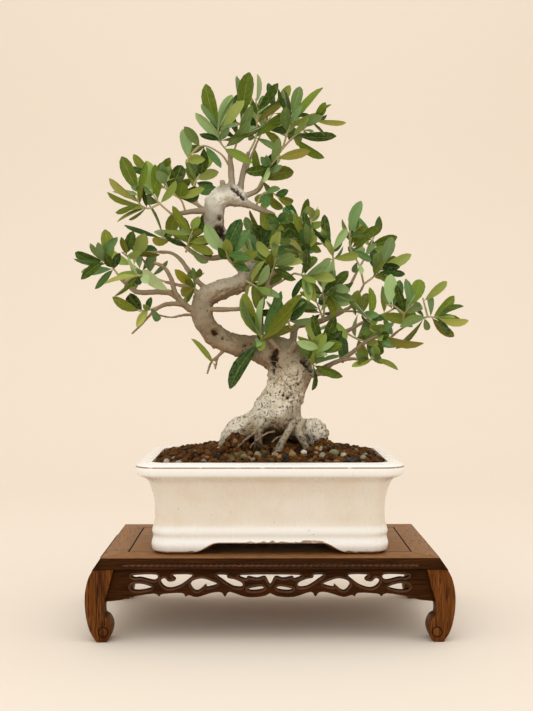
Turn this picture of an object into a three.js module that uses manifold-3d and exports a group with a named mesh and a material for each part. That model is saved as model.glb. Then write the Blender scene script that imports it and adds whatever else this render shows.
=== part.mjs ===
// Olive bonsai in a glazed rectangular pot, on a pierced and scroll-footed walnut stand.
// Millimetres, +Z up, +Y away from the front. The origin is on the ground, under the middle of the stand.
//
// The tree is drawn in elevation on the plane y = 0, as seen from EYE. Every drawn point then slides
// along its sight line to its own depth, so a branch can lean forward or back without changing the
// outline that it was drawn with.

import * as THREE from 'three';
import { mergeVertices } from 'three/addons/utils/BufferGeometryUtils.js';
import Module from 'manifold-3d';

const wasm = await Module();
wasm.setup();

// ---------------------------------------------------------------- driving sizes

const GAP = 0.3; // air between two pieces that touch
const FLATNESS = 0.08; // facets that differ by less than this are merged into one
const EYE = new THREE.Vector3(-11.8, -1310, 332.6);

const STAND_HEIGHT = 93.6;
const TOP_HALF = [190.5, 115]; // half width and half depth of the stand's top face
const TOP_FLARE = [7, 3]; // how far the edge moulding spreads towards its underside
const TOP_THICKNESS = 12;
const PANEL_HALF_WIDTH = 163;
const PANEL_FRONT = -77;
const PANEL_BACK = 88;
const TONGUE_REACH = 6;
const TONGUE_LOW = 85;
const TONGUE_HIGH = 89;
const BEAD_RADIUS = 1.6;
const BEAD_HEIGHT = 85.7;
const BEAD_HALF_LENGTH = [165, 72];
const LEG_DEPTH = 29;
const LEG_FACE = 116.5; // distance of a leg's outer face from the middle
const BOSS_RADIUS = 6.4;
const BOSS_PROUD = 1.2;
const BOSS_AT = [-186.3, 11.6];
const APRON_THICKNESS = 9;
const APRON_FACE = 112;
const SIDE_APRON_FACE = 196;
const APRON_END = 186;

const POT_HALF = [153, 112.5];
const POT_CORNER = 26; // corner radius of the rim in plan
const CORNER_TIGHTENING = 0.3; // loss of corner radius per millimetre of inset from the rim
const CORNER_LEAST = 4;
const POT_BASE = STAND_HEIGHT + GAP;
const POT_FLOOR_UNDER = 107.2;
const POT_FLOOR = 116;
const FOOT_WALL = 36; // inset of the hollow under the floor, from the rim's outline
const DRAIN_RADIUS = 11;
const DRAIN_AT = 70;
const SCREEN_SIZE = 40;
const SCREEN_THICKNESS = 1.2;
const SCREEN_HOLE = 12;
const SCREEN_PITCH = 17;

const TWIG_RADIUS = 1.9;
const TWIG_TAPER = 0.5; // how much thinner a twig is at its end
const BLADE_THICKNESS = 0.8;
const BLADE_FULL_LENGTH = 38; // a blade that is drawn shorter than this leans in depth
const SLIGHT_WIDTH = 10.5; // narrower blades are plain lozenges
const BLADE_PROPORTION = 0.27; // width over length of a blade seen square on
const LEAN_LEAST = 6;
const LEAN_MOST = 22;
const LEAFY_FROM = 0.2; // the first and last nodes of a shoot, as shares of its length
const LEAFY_TO = 0.95;
const SLIDES = [1, -1, 0.5, -0.5, 1.4, -1.4, 0.1, 1.8, -1.8, 2.2, -2.2]; // leans that are tried in turn
const KEEP_CLEAR = 6; // distance that a blade's middle line keeps from the wood and from other sprays

// ---------------------------------------------------------------- materials

function finish(colour, roughness) {
  return () => new THREE.MeshStandardMaterial({ color: colour, roughness, metalness: 0 });
}

const walnut = finish(0x4a2c18, 0.5);
const stoneware = finish(0xf0e8da, 0.3);
const akadama = finish(0x5a3e28, 0.95);
const bark = finish(0xa89a82, 0.9);
const plastic = finish(0x2a2a28, 0.6);
const olive = finish(0x667a34, 0.55);

// ---------------------------------------------------------------- solids

function solidOf(geometry) {
  const bare = geometry.clone();
  bare.deleteAttribute('normal');
  bare.deleteAttribute('uv');
  const merged = mergeVertices(bare, 1e-4);
  return new wasm.Manifold(new wasm.Mesh({
    numProp: 3,
    vertProperties: new Float32Array(merged.attributes.position.array),
    triVerts: new Uint32Array(merged.index.array),
  }));
}

function geometryOf(solid) {
  const found = solid.getMesh();
  const geometry = new THREE.BufferGeometry();
  geometry.setAttribute('position', new THREE.BufferAttribute(found.vertProperties, 3));
  geometry.setIndex(new THREE.BufferAttribute(found.triVerts, 1));
  geometry.computeVertexNormals();
  return geometry;
}

function joined(solids) {
  return solids.reduce((sum, next) => sum.add(next));
}

function largestBody(solid) {
  return solid.decompose().reduce((best, next) => (next.volume() > best.volume() ? next : best));
}

function named(name, solid, material) {
  const mesh = new THREE.Mesh(geometryOf(solid.simplify(FLATNESS)), material());
  mesh.name = name;
  return mesh;
}

function block(low, high) {
  const size = high.map((value, axis) => value - low[axis]);
  const geometry = new THREE.BoxGeometry(...size);
  geometry.translate(...low.map((value, axis) => value + size[axis] / 2));
  return solidOf(geometry);
}

function prism(outline, low, high) {
  const shape = new THREE.Shape(outline.map(([x, y]) => new THREE.Vector2(x, y)));
  const geometry = new THREE.ExtrudeGeometry(shape, { depth: high - low, bevelEnabled: false });
  geometry.translate(0, 0, low);
  return solidOf(geometry);
}

// A board cut to a shape drawn in x and z, with its front face at y = front.
function board(shape, front, thickness, curveSegments = 1) {
  const settings = { depth: thickness, bevelEnabled: false, curveSegments };
  const geometry = new THREE.ExtrudeGeometry(shape, settings);
  geometry.rotateX(Math.PI / 2);
  geometry.translate(0, front + thickness, 0);
  return solidOf(geometry);
}

function seededDraws(start) {
  let seed = start;
  return () => {
    seed = (seed * 1664525 + 1013904223) % 4294967296;
    return seed / 4294967296;
  };
}

// ---------------------------------------------------------------- stand: top

function topSlab() {
  const geometry = new THREE.BoxGeometry(2, 2, 1);
  const place = geometry.attributes.position;
  for (let i = 0; i < place.count; i += 1) {
    const flare = place.getZ(i) < 0 ? 1 : 0;
    const x = place.getX(i) * (TOP_HALF[0] + TOP_FLARE[0] * flare);
    const y = place.getY(i) * (TOP_HALF[1] + TOP_FLARE[1] * flare);
    place.setXYZ(i, x, y, STAND_HEIGHT - TOP_THICKNESS * flare);
  }
  return solidOf(geometry);
}

function beads() {
  const drop = (STAND_HEIGHT - BEAD_HEIGHT) / TOP_THICKNESS;
  const along = (half) => new THREE.CylinderGeometry(BEAD_RADIUS, BEAD_RADIUS, 2 * half, 8);
  const solids = [];
  for (const side of [-1, 1]) {
    const front = along(BEAD_HALF_LENGTH[0]).rotateZ(Math.PI / 2);
    front.translate(0, side * (TOP_HALF[1] + TOP_FLARE[1] * drop), BEAD_HEIGHT);
    const end = along(BEAD_HALF_LENGTH[1]);
    end.translate(side * (TOP_HALF[0] + TOP_FLARE[0] * drop), 0, BEAD_HEIGHT);
    solids.push(solidOf(front), solidOf(end));
  }
  return solids;
}

// Four rails meet in mitres that run from the corners of the panel to the corners of the top.
function rails() {
  const opening = block(
    [-PANEL_HALF_WIDTH, PANEL_FRONT, 0],
    [PANEL_HALF_WIDTH, PANEL_BACK, STAND_HEIGHT + 1],
  );
  const groove = block(
    [-PANEL_HALF_WIDTH - TONGUE_REACH, PANEL_FRONT - TONGUE_REACH, TONGUE_LOW],
    [PANEL_HALF_WIDTH + TONGUE_REACH, PANEL_BACK + TONGUE_REACH, TONGUE_HIGH],
  );
  const frame = joined([topSlab(), ...beads()]).subtract(opening).subtract(groove);
  const half = 0.67 * GAP;
  const inner = { x: PANEL_HALF_WIDTH, front: PANEL_FRONT, back: PANEL_BACK };
  const outer = {
    x: 2 * TOP_HALF[0] - inner.x,
    front: -2 * TOP_HALF[1] - inner.front,
    back: 2 * TOP_HALF[1] - inner.back,
  };
  const wedges = {
    rail_front: [
      [half - outer.x, outer.front], [outer.x - half, outer.front],
      [inner.x - half, inner.front], [half - inner.x, inner.front],
    ],
    rail_back: [
      [half - inner.x, inner.back], [inner.x - half, inner.back],
      [outer.x - half, outer.back], [half - outer.x, outer.back],
    ],
    rail_left: [
      [-outer.x, outer.front + half], [-inner.x, inner.front + half],
      [-inner.x, inner.back - half], [-outer.x, outer.back - half],
    ],
    rail_right: [
      [inner.x, inner.front + half], [outer.x, outer.front + half],
      [outer.x, outer.back - half], [inner.x, inner.back - half],
    ],
  };
  return Object.entries(wedges).map(([name, outline]) => (
    named(name, frame.intersect(prism(outline, 0, STAND_HEIGHT + 1)), walnut)
  ));
}

function topPanel() {
  const face = block(
    [GAP - PANEL_HALF_WIDTH, PANEL_FRONT + GAP, STAND_HEIGHT - TOP_THICKNESS],
    [PANEL_HALF_WIDTH - GAP, PANEL_BACK - GAP, STAND_HEIGHT],
  );
  const reach = TONGUE_REACH - GAP;
  const tongue = block(
    [-PANEL_HALF_WIDTH - reach, PANEL_FRONT - reach, TONGUE_LOW + GAP],
    [PANEL_HALF_WIDTH + reach, PANEL_BACK + reach, TONGUE_HIGH - GAP],
  );
  return named('top_panel', face.add(tongue), walnut);
}

// ---------------------------------------------------------------- stand: legs

const UNDERSIDE = STAND_HEIGHT - TOP_THICKNESS - GAP;

// Points of a left leg in x and z: up its bulging outside, then down its inside to the scroll.
const LEG_OUTSIDE = [
  [-200.8, 11.2], [-204.7, 24], [-206.9, 40], [-206.6, 56], [-203.2, 71], [-198, UNDERSIDE],
];
const LEG_INSIDE = [[-179.9, 62], [-184.4, 48], [-186.4, 36], [-186, 28.8]];
const LEG_SCROLL = [[-181.2, 25.6], [-178, 19.2], [-177.4, 12.5], [-179.6, 4.5], [-183.2, 0]];

function legShape(side) {
  const points = (list) => list.map(([x, z]) => new THREE.Vector2(-side * x, z));
  const shape = new THREE.Shape();
  shape.moveTo(side * 193.7, 0);
  shape.splineThru(points(LEG_OUTSIDE));
  shape.lineTo(side * 175.3, UNDERSIDE);
  shape.splineThru(points(LEG_INSIDE));
  shape.splineThru(points(LEG_SCROLL));
  return shape;
}

function leg(side, end) {
  const front = end < 0 ? -LEG_FACE : LEG_FACE - LEG_DEPTH;
  const boss = new THREE.CylinderGeometry(BOSS_RADIUS, BOSS_RADIUS, 2 * BOSS_PROUD, 14);
  boss.translate(-side * BOSS_AT[0], end * LEG_FACE, BOSS_AT[1]);
  return board(legShape(side), front, LEG_DEPTH).add(solidOf(boss));
}

// ---------------------------------------------------------------- stand: aprons

// Lower edge of the front and back aprons, from the leg to the middle, in x and z.
const APRON_EDGE = [
  [-APRON_END, 44.4], [-167.2, 46.2], [-155.8, 49.5], [-130.5, 53.4], [-124.5, 50.1], [-120.3, 53],
  [-98.9, 54], [-95, 50.1], [-91, 51.6], [-81.8, 49.5], [-64.7, 54.4], [-55, 54.6],
  [-50.5, 49.9], [-45.4, 55.2], [-26.8, 49.5], [-9.1, 50.1],
];
const APRON_MIDDLE = [0, 53.7];

// Openings of the scrollwork, left half, each drawn as a loop in x and z.
const SCROLL_OPENINGS = {
  wedge: [[-154.5, 74.4], [-151.6, 70.8], [-145.2, 71.2], [-129.4, 68], [-127.3, 75.1]],
  lens: [[-156.6, 60.5], [-153.2, 57.2], [-143.5, 56.9], [-131.7, 60.5], [-143, 64.8], [-153.2, 64.4]],
  hooked: [
    [-87.5, 74.7], [-109.6, 74.7], [-105.8, 69.2], [-113, 67.2], [-118.5, 71.1], [-123, 67.5],
    [-118.8, 61.2], [-111.6, 59.1], [-101.8, 61.9], [-93.2, 67.6],
  ],
  comma: [
    [-89.3, 63.3], [-84.5, 56.6], [-79, 57.3], [-72.1, 63.1], [-70.5, 60.1], [-58.6, 63.7],
    [-66.1, 68], [-76.5, 70.8], [-86.5, 68.4],
  ],
  ribbon: [
    [-60.4, 74.4], [-53.2, 68.4], [-44.7, 62.7], [-39, 60.5], [-31.5, 60.5], [-31.4, 65.6],
    [-39.7, 69.7], [-48, 71.5], [-49, 74.7],
  ],
  petal: [[-25.8, 58.3], [-20.5, 56.2], [-9.7, 57.3], [-6.6, 59.8], [-10.5, 61.9], [-21.9, 60.1]],
};
const CROWN_OPENING = [[-33, 74.6], [-27.3, 69.4], [-24.7, 72], [-14.8, 70.1], [-5.5, 72], [0, 63]];

function mirroredLoop(half) {
  return half.map(([x, z]) => [-x, z]).reverse();
}

function loopPath(loop) {
  return new THREE.Path(loop.map(([x, z]) => new THREE.Vector2(x, z)));
}

function piercedApron(front) {
  const edge = [...APRON_EDGE, APRON_MIDDLE, ...mirroredLoop(APRON_EDGE)];
  const outline = [[-APRON_END, UNDERSIDE], ...edge, [APRON_END, UNDERSIDE]];
  const shape = new THREE.Shape(outline.map(([x, z]) => new THREE.Vector2(x, z)));
  for (const loop of Object.values(SCROLL_OPENINGS)) {
    shape.holes.push(loopPath(loop), loopPath(mirroredLoop(loop)));
  }
  shape.holes.push(loopPath([...CROWN_OPENING, ...mirroredLoop(CROWN_OPENING).slice(1)]));
  return board(shape, front, APRON_THICKNESS);
}

// The side aprons stand between the legs: a plain board with a waved lower edge.
function sideApron(side) {
  const end = LEG_FACE - LEG_DEPTH - GAP;
  const waves = 4;
  const steps = 24;
  const outline = [[-end, UNDERSIDE], [-end, 46]];
  for (let i = 1; i < steps; i += 1) {
    const share = i / steps;
    outline.push([-end + 2 * end * share, 48 + 6 * Math.abs(Math.sin(Math.PI * waves * share))]);
  }
  outline.push([end, 46], [end, UNDERSIDE]);
  const shape = new THREE.Shape(outline.map(([y, z]) => new THREE.Vector2(y, z)));
  const geometry = new THREE.ExtrudeGeometry(shape, { depth: APRON_THICKNESS, bevelEnabled: false });
  geometry.rotateX(Math.PI / 2);
  geometry.rotateZ(Math.PI / 2);
  geometry.translate(side < 0 ? -SIDE_APRON_FACE : SIDE_APRON_FACE - APRON_THICKNESS, 0, 0);
  return solidOf(geometry);
}

function stand() {
  const pieces = [...rails(), topPanel()];
  const legsAndGaps = [];
  for (const side of [-1, 1]) {
    for (const end of [-1, 1]) {
      const solid = leg(side, end);
      const name = `leg_${end < 0 ? 'front' : 'back'}_${side < 0 ? 'left' : 'right'}`;
      pieces.push(named(name, solid, walnut));
      legsAndGaps.push(solid, solid.translate(-side * GAP, 0, 0));
    }
  }
  for (const [name, front] of [['apron_front', -APRON_FACE], ['apron_back', APRON_FACE - APRON_THICKNESS]]) {
    const fitted = legsAndGaps.reduce((apron, solid) => apron.subtract(solid), piercedApron(front));
    pieces.push(named(name, largestBody(fitted), walnut));
  }
  pieces.push(named('apron_left', sideApron(-1), walnut), named('apron_right', sideApron(1), walnut));
  return pieces;
}

// ---------------------------------------------------------------- pot, drain screens and soil

const ARC_POINTS = 4; // points on each rounded corner

// A lathe turned on a rounded rectangle: each of its columns stands on one point of the corners' arcs.
// The profile holds [inset from the rim's outline, z], and an inset of null is the axis.
function roundedLathe(profile) {
  const columns = 4 * ARC_POINTS;
  const points = profile.map(([inset, z]) => new THREE.Vector2(inset === null ? 0 : 1, z));
  const geometry = new THREE.LatheGeometry(points, columns);
  const place = geometry.attributes.position;
  for (let i = 0; i < place.count; i += 1) {
    const column = Math.floor(i / points.length) % columns;
    const [inset, z] = profile[i % points.length];
    const quarter = Math.floor(column / ARC_POINTS);
    const angle = (quarter + (column % ARC_POINTS) / (ARC_POINTS - 1)) * Math.PI / 2;
    const corner = Math.max(POT_CORNER - CORNER_TIGHTENING * inset, CORNER_LEAST);
    const signX = quarter === 0 || quarter === 3 ? 1 : -1;
    const signY = quarter < 2 ? 1 : -1;
    const x = signX * (POT_HALF[0] - inset - corner) + corner * Math.cos(angle);
    const y = signY * (POT_HALF[1] - inset - corner) + corner * Math.sin(angle);
    place.setXYZ(i, inset === null ? 0 : x, inset === null ? 0 : y, z);
  }
  return geometry;
}

const POT_OUTSIDE = [
  [27, POT_BASE], [20.6, 97.2], [16.8, 105], [18.3, 112.5], [17.4, 119.4], [20.2, 133], [19.6, 155],
  [14.6, 173], [9.5, 179.8], [1, 185], [0, 194.3], [6, 198], [13, 198.9], [17.6, 197.5],
];
const POT_INSIDE = [[18.4, 191], [24.5, 170], [28, 145], [28, 126], [33, POT_FLOOR]];

// Cloud-shaped gap between two feet, in one horizontal direction and z.
function footArch(halfTop, halfBase) {
  const rise = POT_FLOOR_UNDER - POT_BASE;
  const half = [
    [halfBase + 6, -2], [halfBase, 0.02], [halfBase - 8, 0.12], [halfTop + 6, 0.45], [halfTop + 3, 0.9],
  ];
  const right = half.map(([x, share]) => [x, POT_BASE + rise * share]);
  return [...right, [halfTop, POT_FLOOR_UNDER], [-halfTop, POT_FLOOR_UNDER], ...mirroredLoop(right)];
}

function pot() {
  const body = solidOf(roundedLathe([[null, POT_BASE], ...POT_OUTSIDE, ...POT_INSIDE, [null, POT_FLOOR]]));
  const archShape = (loop) => new THREE.Shape(loop.map(([x, z]) => new THREE.Vector2(x, z)));
  const reach = 2 * POT_HALF[1] + 20;
  const throughDepth = board(archShape(footArch(62, 92)), -reach / 2, reach);
  const width = 2 * POT_HALF[0] + 20;
  const endArch = archShape(footArch(38, 64));
  const sideways = new THREE.ExtrudeGeometry(endArch, { depth: width, bevelEnabled: false });
  sideways.rotateX(Math.PI / 2);
  sideways.rotateZ(Math.PI / 2);
  sideways.translate(-width / 2, 0, 0);
  const hollow = block(
    [FOOT_WALL - POT_HALF[0], FOOT_WALL - POT_HALF[1], POT_BASE - 1],
    [POT_HALF[0] - FOOT_WALL, POT_HALF[1] - FOOT_WALL, POT_FLOOR_UNDER],
  );
  let fired = body.subtract(throughDepth).subtract(solidOf(sideways)).subtract(hollow);
  for (const side of [-1, 1]) {
    const drain = new THREE.CylinderGeometry(DRAIN_RADIUS, DRAIN_RADIUS, 30, 16).rotateX(Math.PI / 2);
    drain.translate(side * DRAIN_AT, 0, POT_FLOOR);
    fired = fired.subtract(solidOf(drain));
  }
  return named('pot', fired, stoneware);
}

// A square of plastic mesh lies on the floor over each drain hole.
function drainScreen(side) {
  const half = SCREEN_SIZE / 2;
  const x = side * DRAIN_AT;
  const [low, high] = [POT_FLOOR + GAP, POT_FLOOR + GAP + SCREEN_THICKNESS];
  let screen = block([x - half, -half, low], [x + half, half, high]);
  for (const column of [-0.5, 0.5]) {
    for (const row of [-0.5, 0.5]) {
      const left = x + column * SCREEN_PITCH - SCREEN_HOLE / 2;
      const near = row * SCREEN_PITCH - SCREEN_HOLE / 2;
      const hole = block([left, near, low - 1], [left + SCREEN_HOLE, near + SCREEN_HOLE, high + 1]);
      screen = screen.subtract(hole);
    }
  }
  return named(`drain_screen_${side < 0 ? 'left' : 'right'}`, screen, plastic);
}

const SOIL_RINGS = 5;
const SOIL_EDGE = [18.9, 195];
const SOIL_MOUND = 18; // rise of the soil from the rim to the trunk
const GRAIN_RELIEF = 2.2;

function soil(trunkHoles) {
  const fitted = POT_INSIDE.map(([inset, z]) => [inset + GAP + 0.1, z]).reverse();
  const edgeRadius = POT_HALF[1] - SOIL_EDGE[0];
  const rings = [];
  for (let i = 1; i < SOIL_RINGS; i += 1) {
    rings.push([SOIL_EDGE[0] + edgeRadius * (i / SOIL_RINGS), SOIL_EDGE[1]]);
  }
  fitted[0][1] += GAP;
  const profile = [[null, POT_FLOOR + GAP], ...fitted, SOIL_EDGE, ...rings, [null, SOIL_EDGE[1]]];
  const geometry = roundedLathe(profile);
  const place = geometry.attributes.position;
  const firstRing = fitted.length + 2;
  for (let i = 0; i < place.count; i += 1) {
    const ring = i % profile.length;
    if (ring >= firstRing) {
      const [x, y] = [place.getX(i), place.getY(i)];
      const climb = (ring - firstRing + 1) / (SOIL_RINGS + 1);
      const grain = Math.sin(x * 0.71 + y * 0.37) * Math.cos(y * 0.83 - x * 0.29);
      const rise = SOIL_MOUND * Math.sin(climb * Math.PI / 2) ** 1.3;
      place.setZ(i, SOIL_EDGE[1] + rise + GRAIN_RELIEF * grain);
    }
  }
  let ground = solidOf(geometry);
  const half = SCREEN_SIZE / 2 + GAP;
  for (const side of [-1, 1]) {
    const x = side * DRAIN_AT;
    ground = ground.subtract(block(
      [x - half, -half, POT_FLOOR - 1],
      [x + half, half, POT_FLOOR + SCREEN_THICKNESS + 2 * GAP],
    ));
  }
  for (const hole of trunkHoles) ground = ground.subtract(hole);
  return named('soil', largestBody(ground), akadama);
}

// ---------------------------------------------------------------- wood

function at(x, z, y) {
  const reach = (y - EYE.y) / -EYE.y;
  return new THREE.Vector3(EYE.x + (x - EYE.x) * reach, y, EYE.z + (z - EYE.z) * reach);
}

// Drawn points of a limb, with the depth running evenly from its first point to its last.
function limbPoints(drawn, depth) {
  return drawn.map(([x, z], i) => at(x, z, depth[0] + (depth[1] - depth[0]) * (i / (drawn.length - 1))));
}

// A closed cylinder bent along a curve. radiusAt takes the share of the length and the angle round it.
function bentRod(points, radiusAt, sides, steps) {
  const curve = new THREE.CatmullRomCurve3(points, false, 'catmullrom', 0.5);
  const geometry = new THREE.CylinderGeometry(1, 1, 1, sides, steps);
  const middles = curve.getPoints(steps);
  const normals = [];
  const tangents = middles.map((point, k) => (
    middles[Math.min(k + 1, steps)].clone().sub(middles[Math.max(k - 1, 0)]).normalize()
  ));
  let normal = new THREE.Vector3(0.31, 0.87, 0.12);
  for (const tangent of tangents) {
    normal = normal.clone().addScaledVector(tangent, -normal.dot(tangent)).normalize();
    normals.push(normal);
  }
  const place = geometry.attributes.position;
  for (let i = 0; i < place.count; i += 1) {
    const [x, y, z] = [place.getX(i), place.getY(i), place.getZ(i)];
    const k = Math.round((y + 0.5) * steps);
    const across = tangents[k].clone().cross(normals[k]);
    const radius = radiusAt(y + 0.5, Math.atan2(z, x));
    const spot = middles[k].clone().addScaledVector(across, x * radius);
    spot.addScaledVector(normals[k], z * radius);
    place.setXYZ(i, spot.x, spot.y, spot.z);
  }
  return solidOf(geometry);
}

// The trunk: drawn x and z, depth y, and radius, from the soil up to the tip that turns down on the right.
const TRUNK = [
  [3, 176, 2, 26], [3, 205, 1, 34], [4.5, 234, 0, 33], [9.5, 252, -1, 28], [17, 268, -3, 22.5],
  [24, 284, -4, 23], [25.8, 301, -5, 26], [13.5, 317, -7, 23], [-9, 327, -9, 18],
  [-33, 330.5, -10, 14.5], [-58, 339, -9, 14], [-75, 354, -7, 13.5], [-82, 372, -4, 13.5],
  [-77.5, 390, 0, 13.5], [-58, 400, 4, 13], [-36, 407.5, 7, 12], [-26, 418.5, 8, 11.5],
  [-36, 434.5, 8, 11.5], [-51.5, 452.5, 6, 11.5], [-65, 468.5, 3, 12], [-70, 485.5, 1, 12],
  [-69, 501.5, 0, 12], [-59, 515, 0, 13], [-44.5, 518.5, 0, 12.5], [-28.5, 509, -3, 8],
  [-9, 498, -8, 5], [7, 490.5, -14, 3.2],
];

// Limbs: drawn path, depth at both ends, radius at both ends.
const LIMBS = [
  { path: [[-45.6, 519], [-46.8, 545], [-48, 564]], depth: [2, -8], radius: [6, 3.4] },
  { path: [[-36, 516], [-32, 543], [-25, 567]], depth: [4, 10], radius: [5, 3] },
  { path: [[-72, 495], [-90, 495], [-104, 493], [-121, 490.5]], depth: [0, -18], radius: [5.5, 3] },
  {
    path: [[-46, 443], [-66, 438], [-86, 440], [-107, 456], [-118, 468.5]],
    depth: [8, 40],
    radius: [5, 2.5],
  },
  {
    path: [[-81, 373], [-96, 375.5], [-105, 383], [-115, 396.5], [-120, 413.5], [-129, 427], [-141, 432]],
    depth: [-4, -30],
    radius: [6, 2.5],
  },
  {
    path: [[-110, 389], [-124, 396.5], [-144.5, 396], [-161.5, 396.5], [-174, 406], [-185, 417]],
    depth: [-12, -5],
    radius: [5.5, 3],
  },
  {
    path: [[-101, 380], [-119, 382], [-132, 379], [-142, 372], [-153, 360], [-168, 345]],
    depth: [-9, -48],
    radius: [4.2, 1.5],
  },
  {
    path: [[-81, 367], [-102, 368.5], [-119.5, 365.5], [-137, 368.5]],
    depth: [-5, -40],
    radius: [3.2, 1.3],
  },
  {
    path: [[-74, 398], [-88, 410], [-99, 423], [-108, 435.5], [-120, 444], [-136, 445]],
    depth: [2, 30],
    radius: [5, 2.5],
  },
  { path: [[-55, 517], [-58, 533]], depth: [-4, -10], radius: [5.5, 4.6] },
  { path: [[-81, 375], [-54, 375], [-36, 375.5]], depth: [-10, -22], radius: [4.2, 3.2] },
  { path: [[-50, 330], [-64, 317], [-71, 311], [-76, 296]], depth: [-14, -28], radius: [3.2, 1.3] },
  { path: [[-62.5, 319], [-66.5, 302]], depth: [-17, -24], radius: [1.9, 1.1] },
  {
    path: [[-9, 326], [-10, 350], [-10, 380.5], [-4, 399], [2, 416], [18, 426.5]],
    depth: [-12, -30],
    radius: [5.2, 2.3],
  },
  { path: [[-4, 399], [13, 408.5], [31, 419.5]], depth: [-23, -36], radius: [2.4, 1.6] },
  {
    path: [
      [26.5, 314], [29, 340], [34, 355], [54.5, 358.5], [76.5, 366.5], [90, 373], [101, 380.5],
      [112, 399], [117, 408.5],
    ],
    depth: [0, 25],
    radius: [8, 2.8],
  },
  {
    path: [[30, 294], [57, 297.5], [68, 304], [81.5, 311], [101, 315], [118, 312]],
    depth: [-5, -36],
    radius: [8.5, 3],
  },
  { path: [[57, 297.5], [71, 296]], depth: [-12, -20], radius: [4.4, 4] },
  {
    path: [
      [86, 312.5], [98.5, 320.5], [115.5, 334], [131.5, 341.5], [140, 335.5], [154.5, 346.5],
      [164.5, 353.5], [179, 362],
    ],
    depth: [-24, 4],
    radius: [4.6, 2.3],
  },
  { path: [[77, 366.5], [84, 389], [80, 411], [79, 423.5]], depth: [12, -14], radius: [3.2, 2] },
  {
    path: [[-32, 512], [-14, 521], [-6.5, 535.5], [4.5, 555], [16.5, 573.5]],
    depth: [0, 20],
    radius: [5, 2.5],
  },
  { path: [[22, 325], [31, 333]], depth: [-6, -14], radius: [8, 5.5] },
  { path: [[9, 322], [9, 333]], depth: [-6, -12], radius: [8, 5] },
  { path: [[-77, 387], [-97, 401], [-127, 408.5]], depth: [4, 80], radius: [5.2, 2.5] },
  { path: [[-30, 420], [-9, 433], [15.5, 447.5]], depth: [9, 85], radius: [4.6, 2.4] },
  { path: [[-69, 484], [-87, 502.5], [-111.5, 513.5]], depth: [3, 70], radius: [4.6, 2.4] },
  { path: [[-41, 515], [-28.5, 545], [-16, 576]], depth: [4, 60], radius: [4.2, 2.2] },
  { path: [[28, 315], [56, 335], [92, 347.5], [123, 364.5]], depth: [5, 80], radius: [6, 2.5] },
  { path: [[78, 367], [92.5, 393], [108, 423]], depth: [12, 75], radius: [3.6, 2.2] },
];

// Surface roots: drawn path, depth at both ends, radius at both ends. Each dives into the soil.
const ROOTS = [
  { path: [[0, 246], [-23, 232], [-43, 218], [-46, 194]], depth: [-6, -18], radius: [22, 16] },
  { path: [[8, 246], [32, 230], [54, 225], [56, 194]], depth: [-6, -14], radius: [18, 14.5] },
  { path: [[37, 246], [24, 226], [11, 205], [6, 188]], depth: [-24, -54], radius: [9, 6] },
  { path: [[-14, 232], [-27, 214], [-40, 194]], depth: [-26, -50], radius: [8, 5] },
  { path: [[-4, 242], [-26, 226], [-46, 192]], depth: [12, 40], radius: [18, 12] },
  { path: [[12, 244], [34, 226], [50, 192]], depth: [12, 42], radius: [18, 11] },
  { path: [[4, 238], [6, 218], [8, 190]], depth: [14, 54], radius: [17, 9] },
];

function bentLimb({ path, depth, radius }, sides, grow) {
  const taper = (share) => radius[0] + (radius[1] - radius[0]) * share ** 0.8 + grow;
  return bentRod(limbPoints(path, depth), taper, sides, Math.max(path.length - 1, 2));
}

function trunkStem(grow) {
  const points = TRUNK.map(([x, z, y]) => at(x, z, y));
  const radius = (share, angle) => {
    const place = Math.min(share * (TRUNK.length - 1), TRUNK.length - 1.001);
    const index = Math.floor(place);
    const low = TRUNK[index][3];
    const high = TRUNK[index + 1][3];
    const muscle = 1 + 0.07 * Math.sin(2 * angle + 11 * share) + 0.05 * Math.sin(3 * angle - 23 * share);
    return (low + (high - low) * (place - index)) * muscle + grow;
  };
  return bentRod(points, radius, 9, 32);
}

function woodSolids(grow) {
  return [
    trunkStem(grow),
    ...ROOTS.map((root) => bentLimb(root, 6, grow)),
    ...LIMBS.map((limb) => bentLimb(limb, limb.radius[0] > 4.8 ? 5 : 4, grow)),
  ];
}

// ---------------------------------------------------------------- sprays

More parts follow.
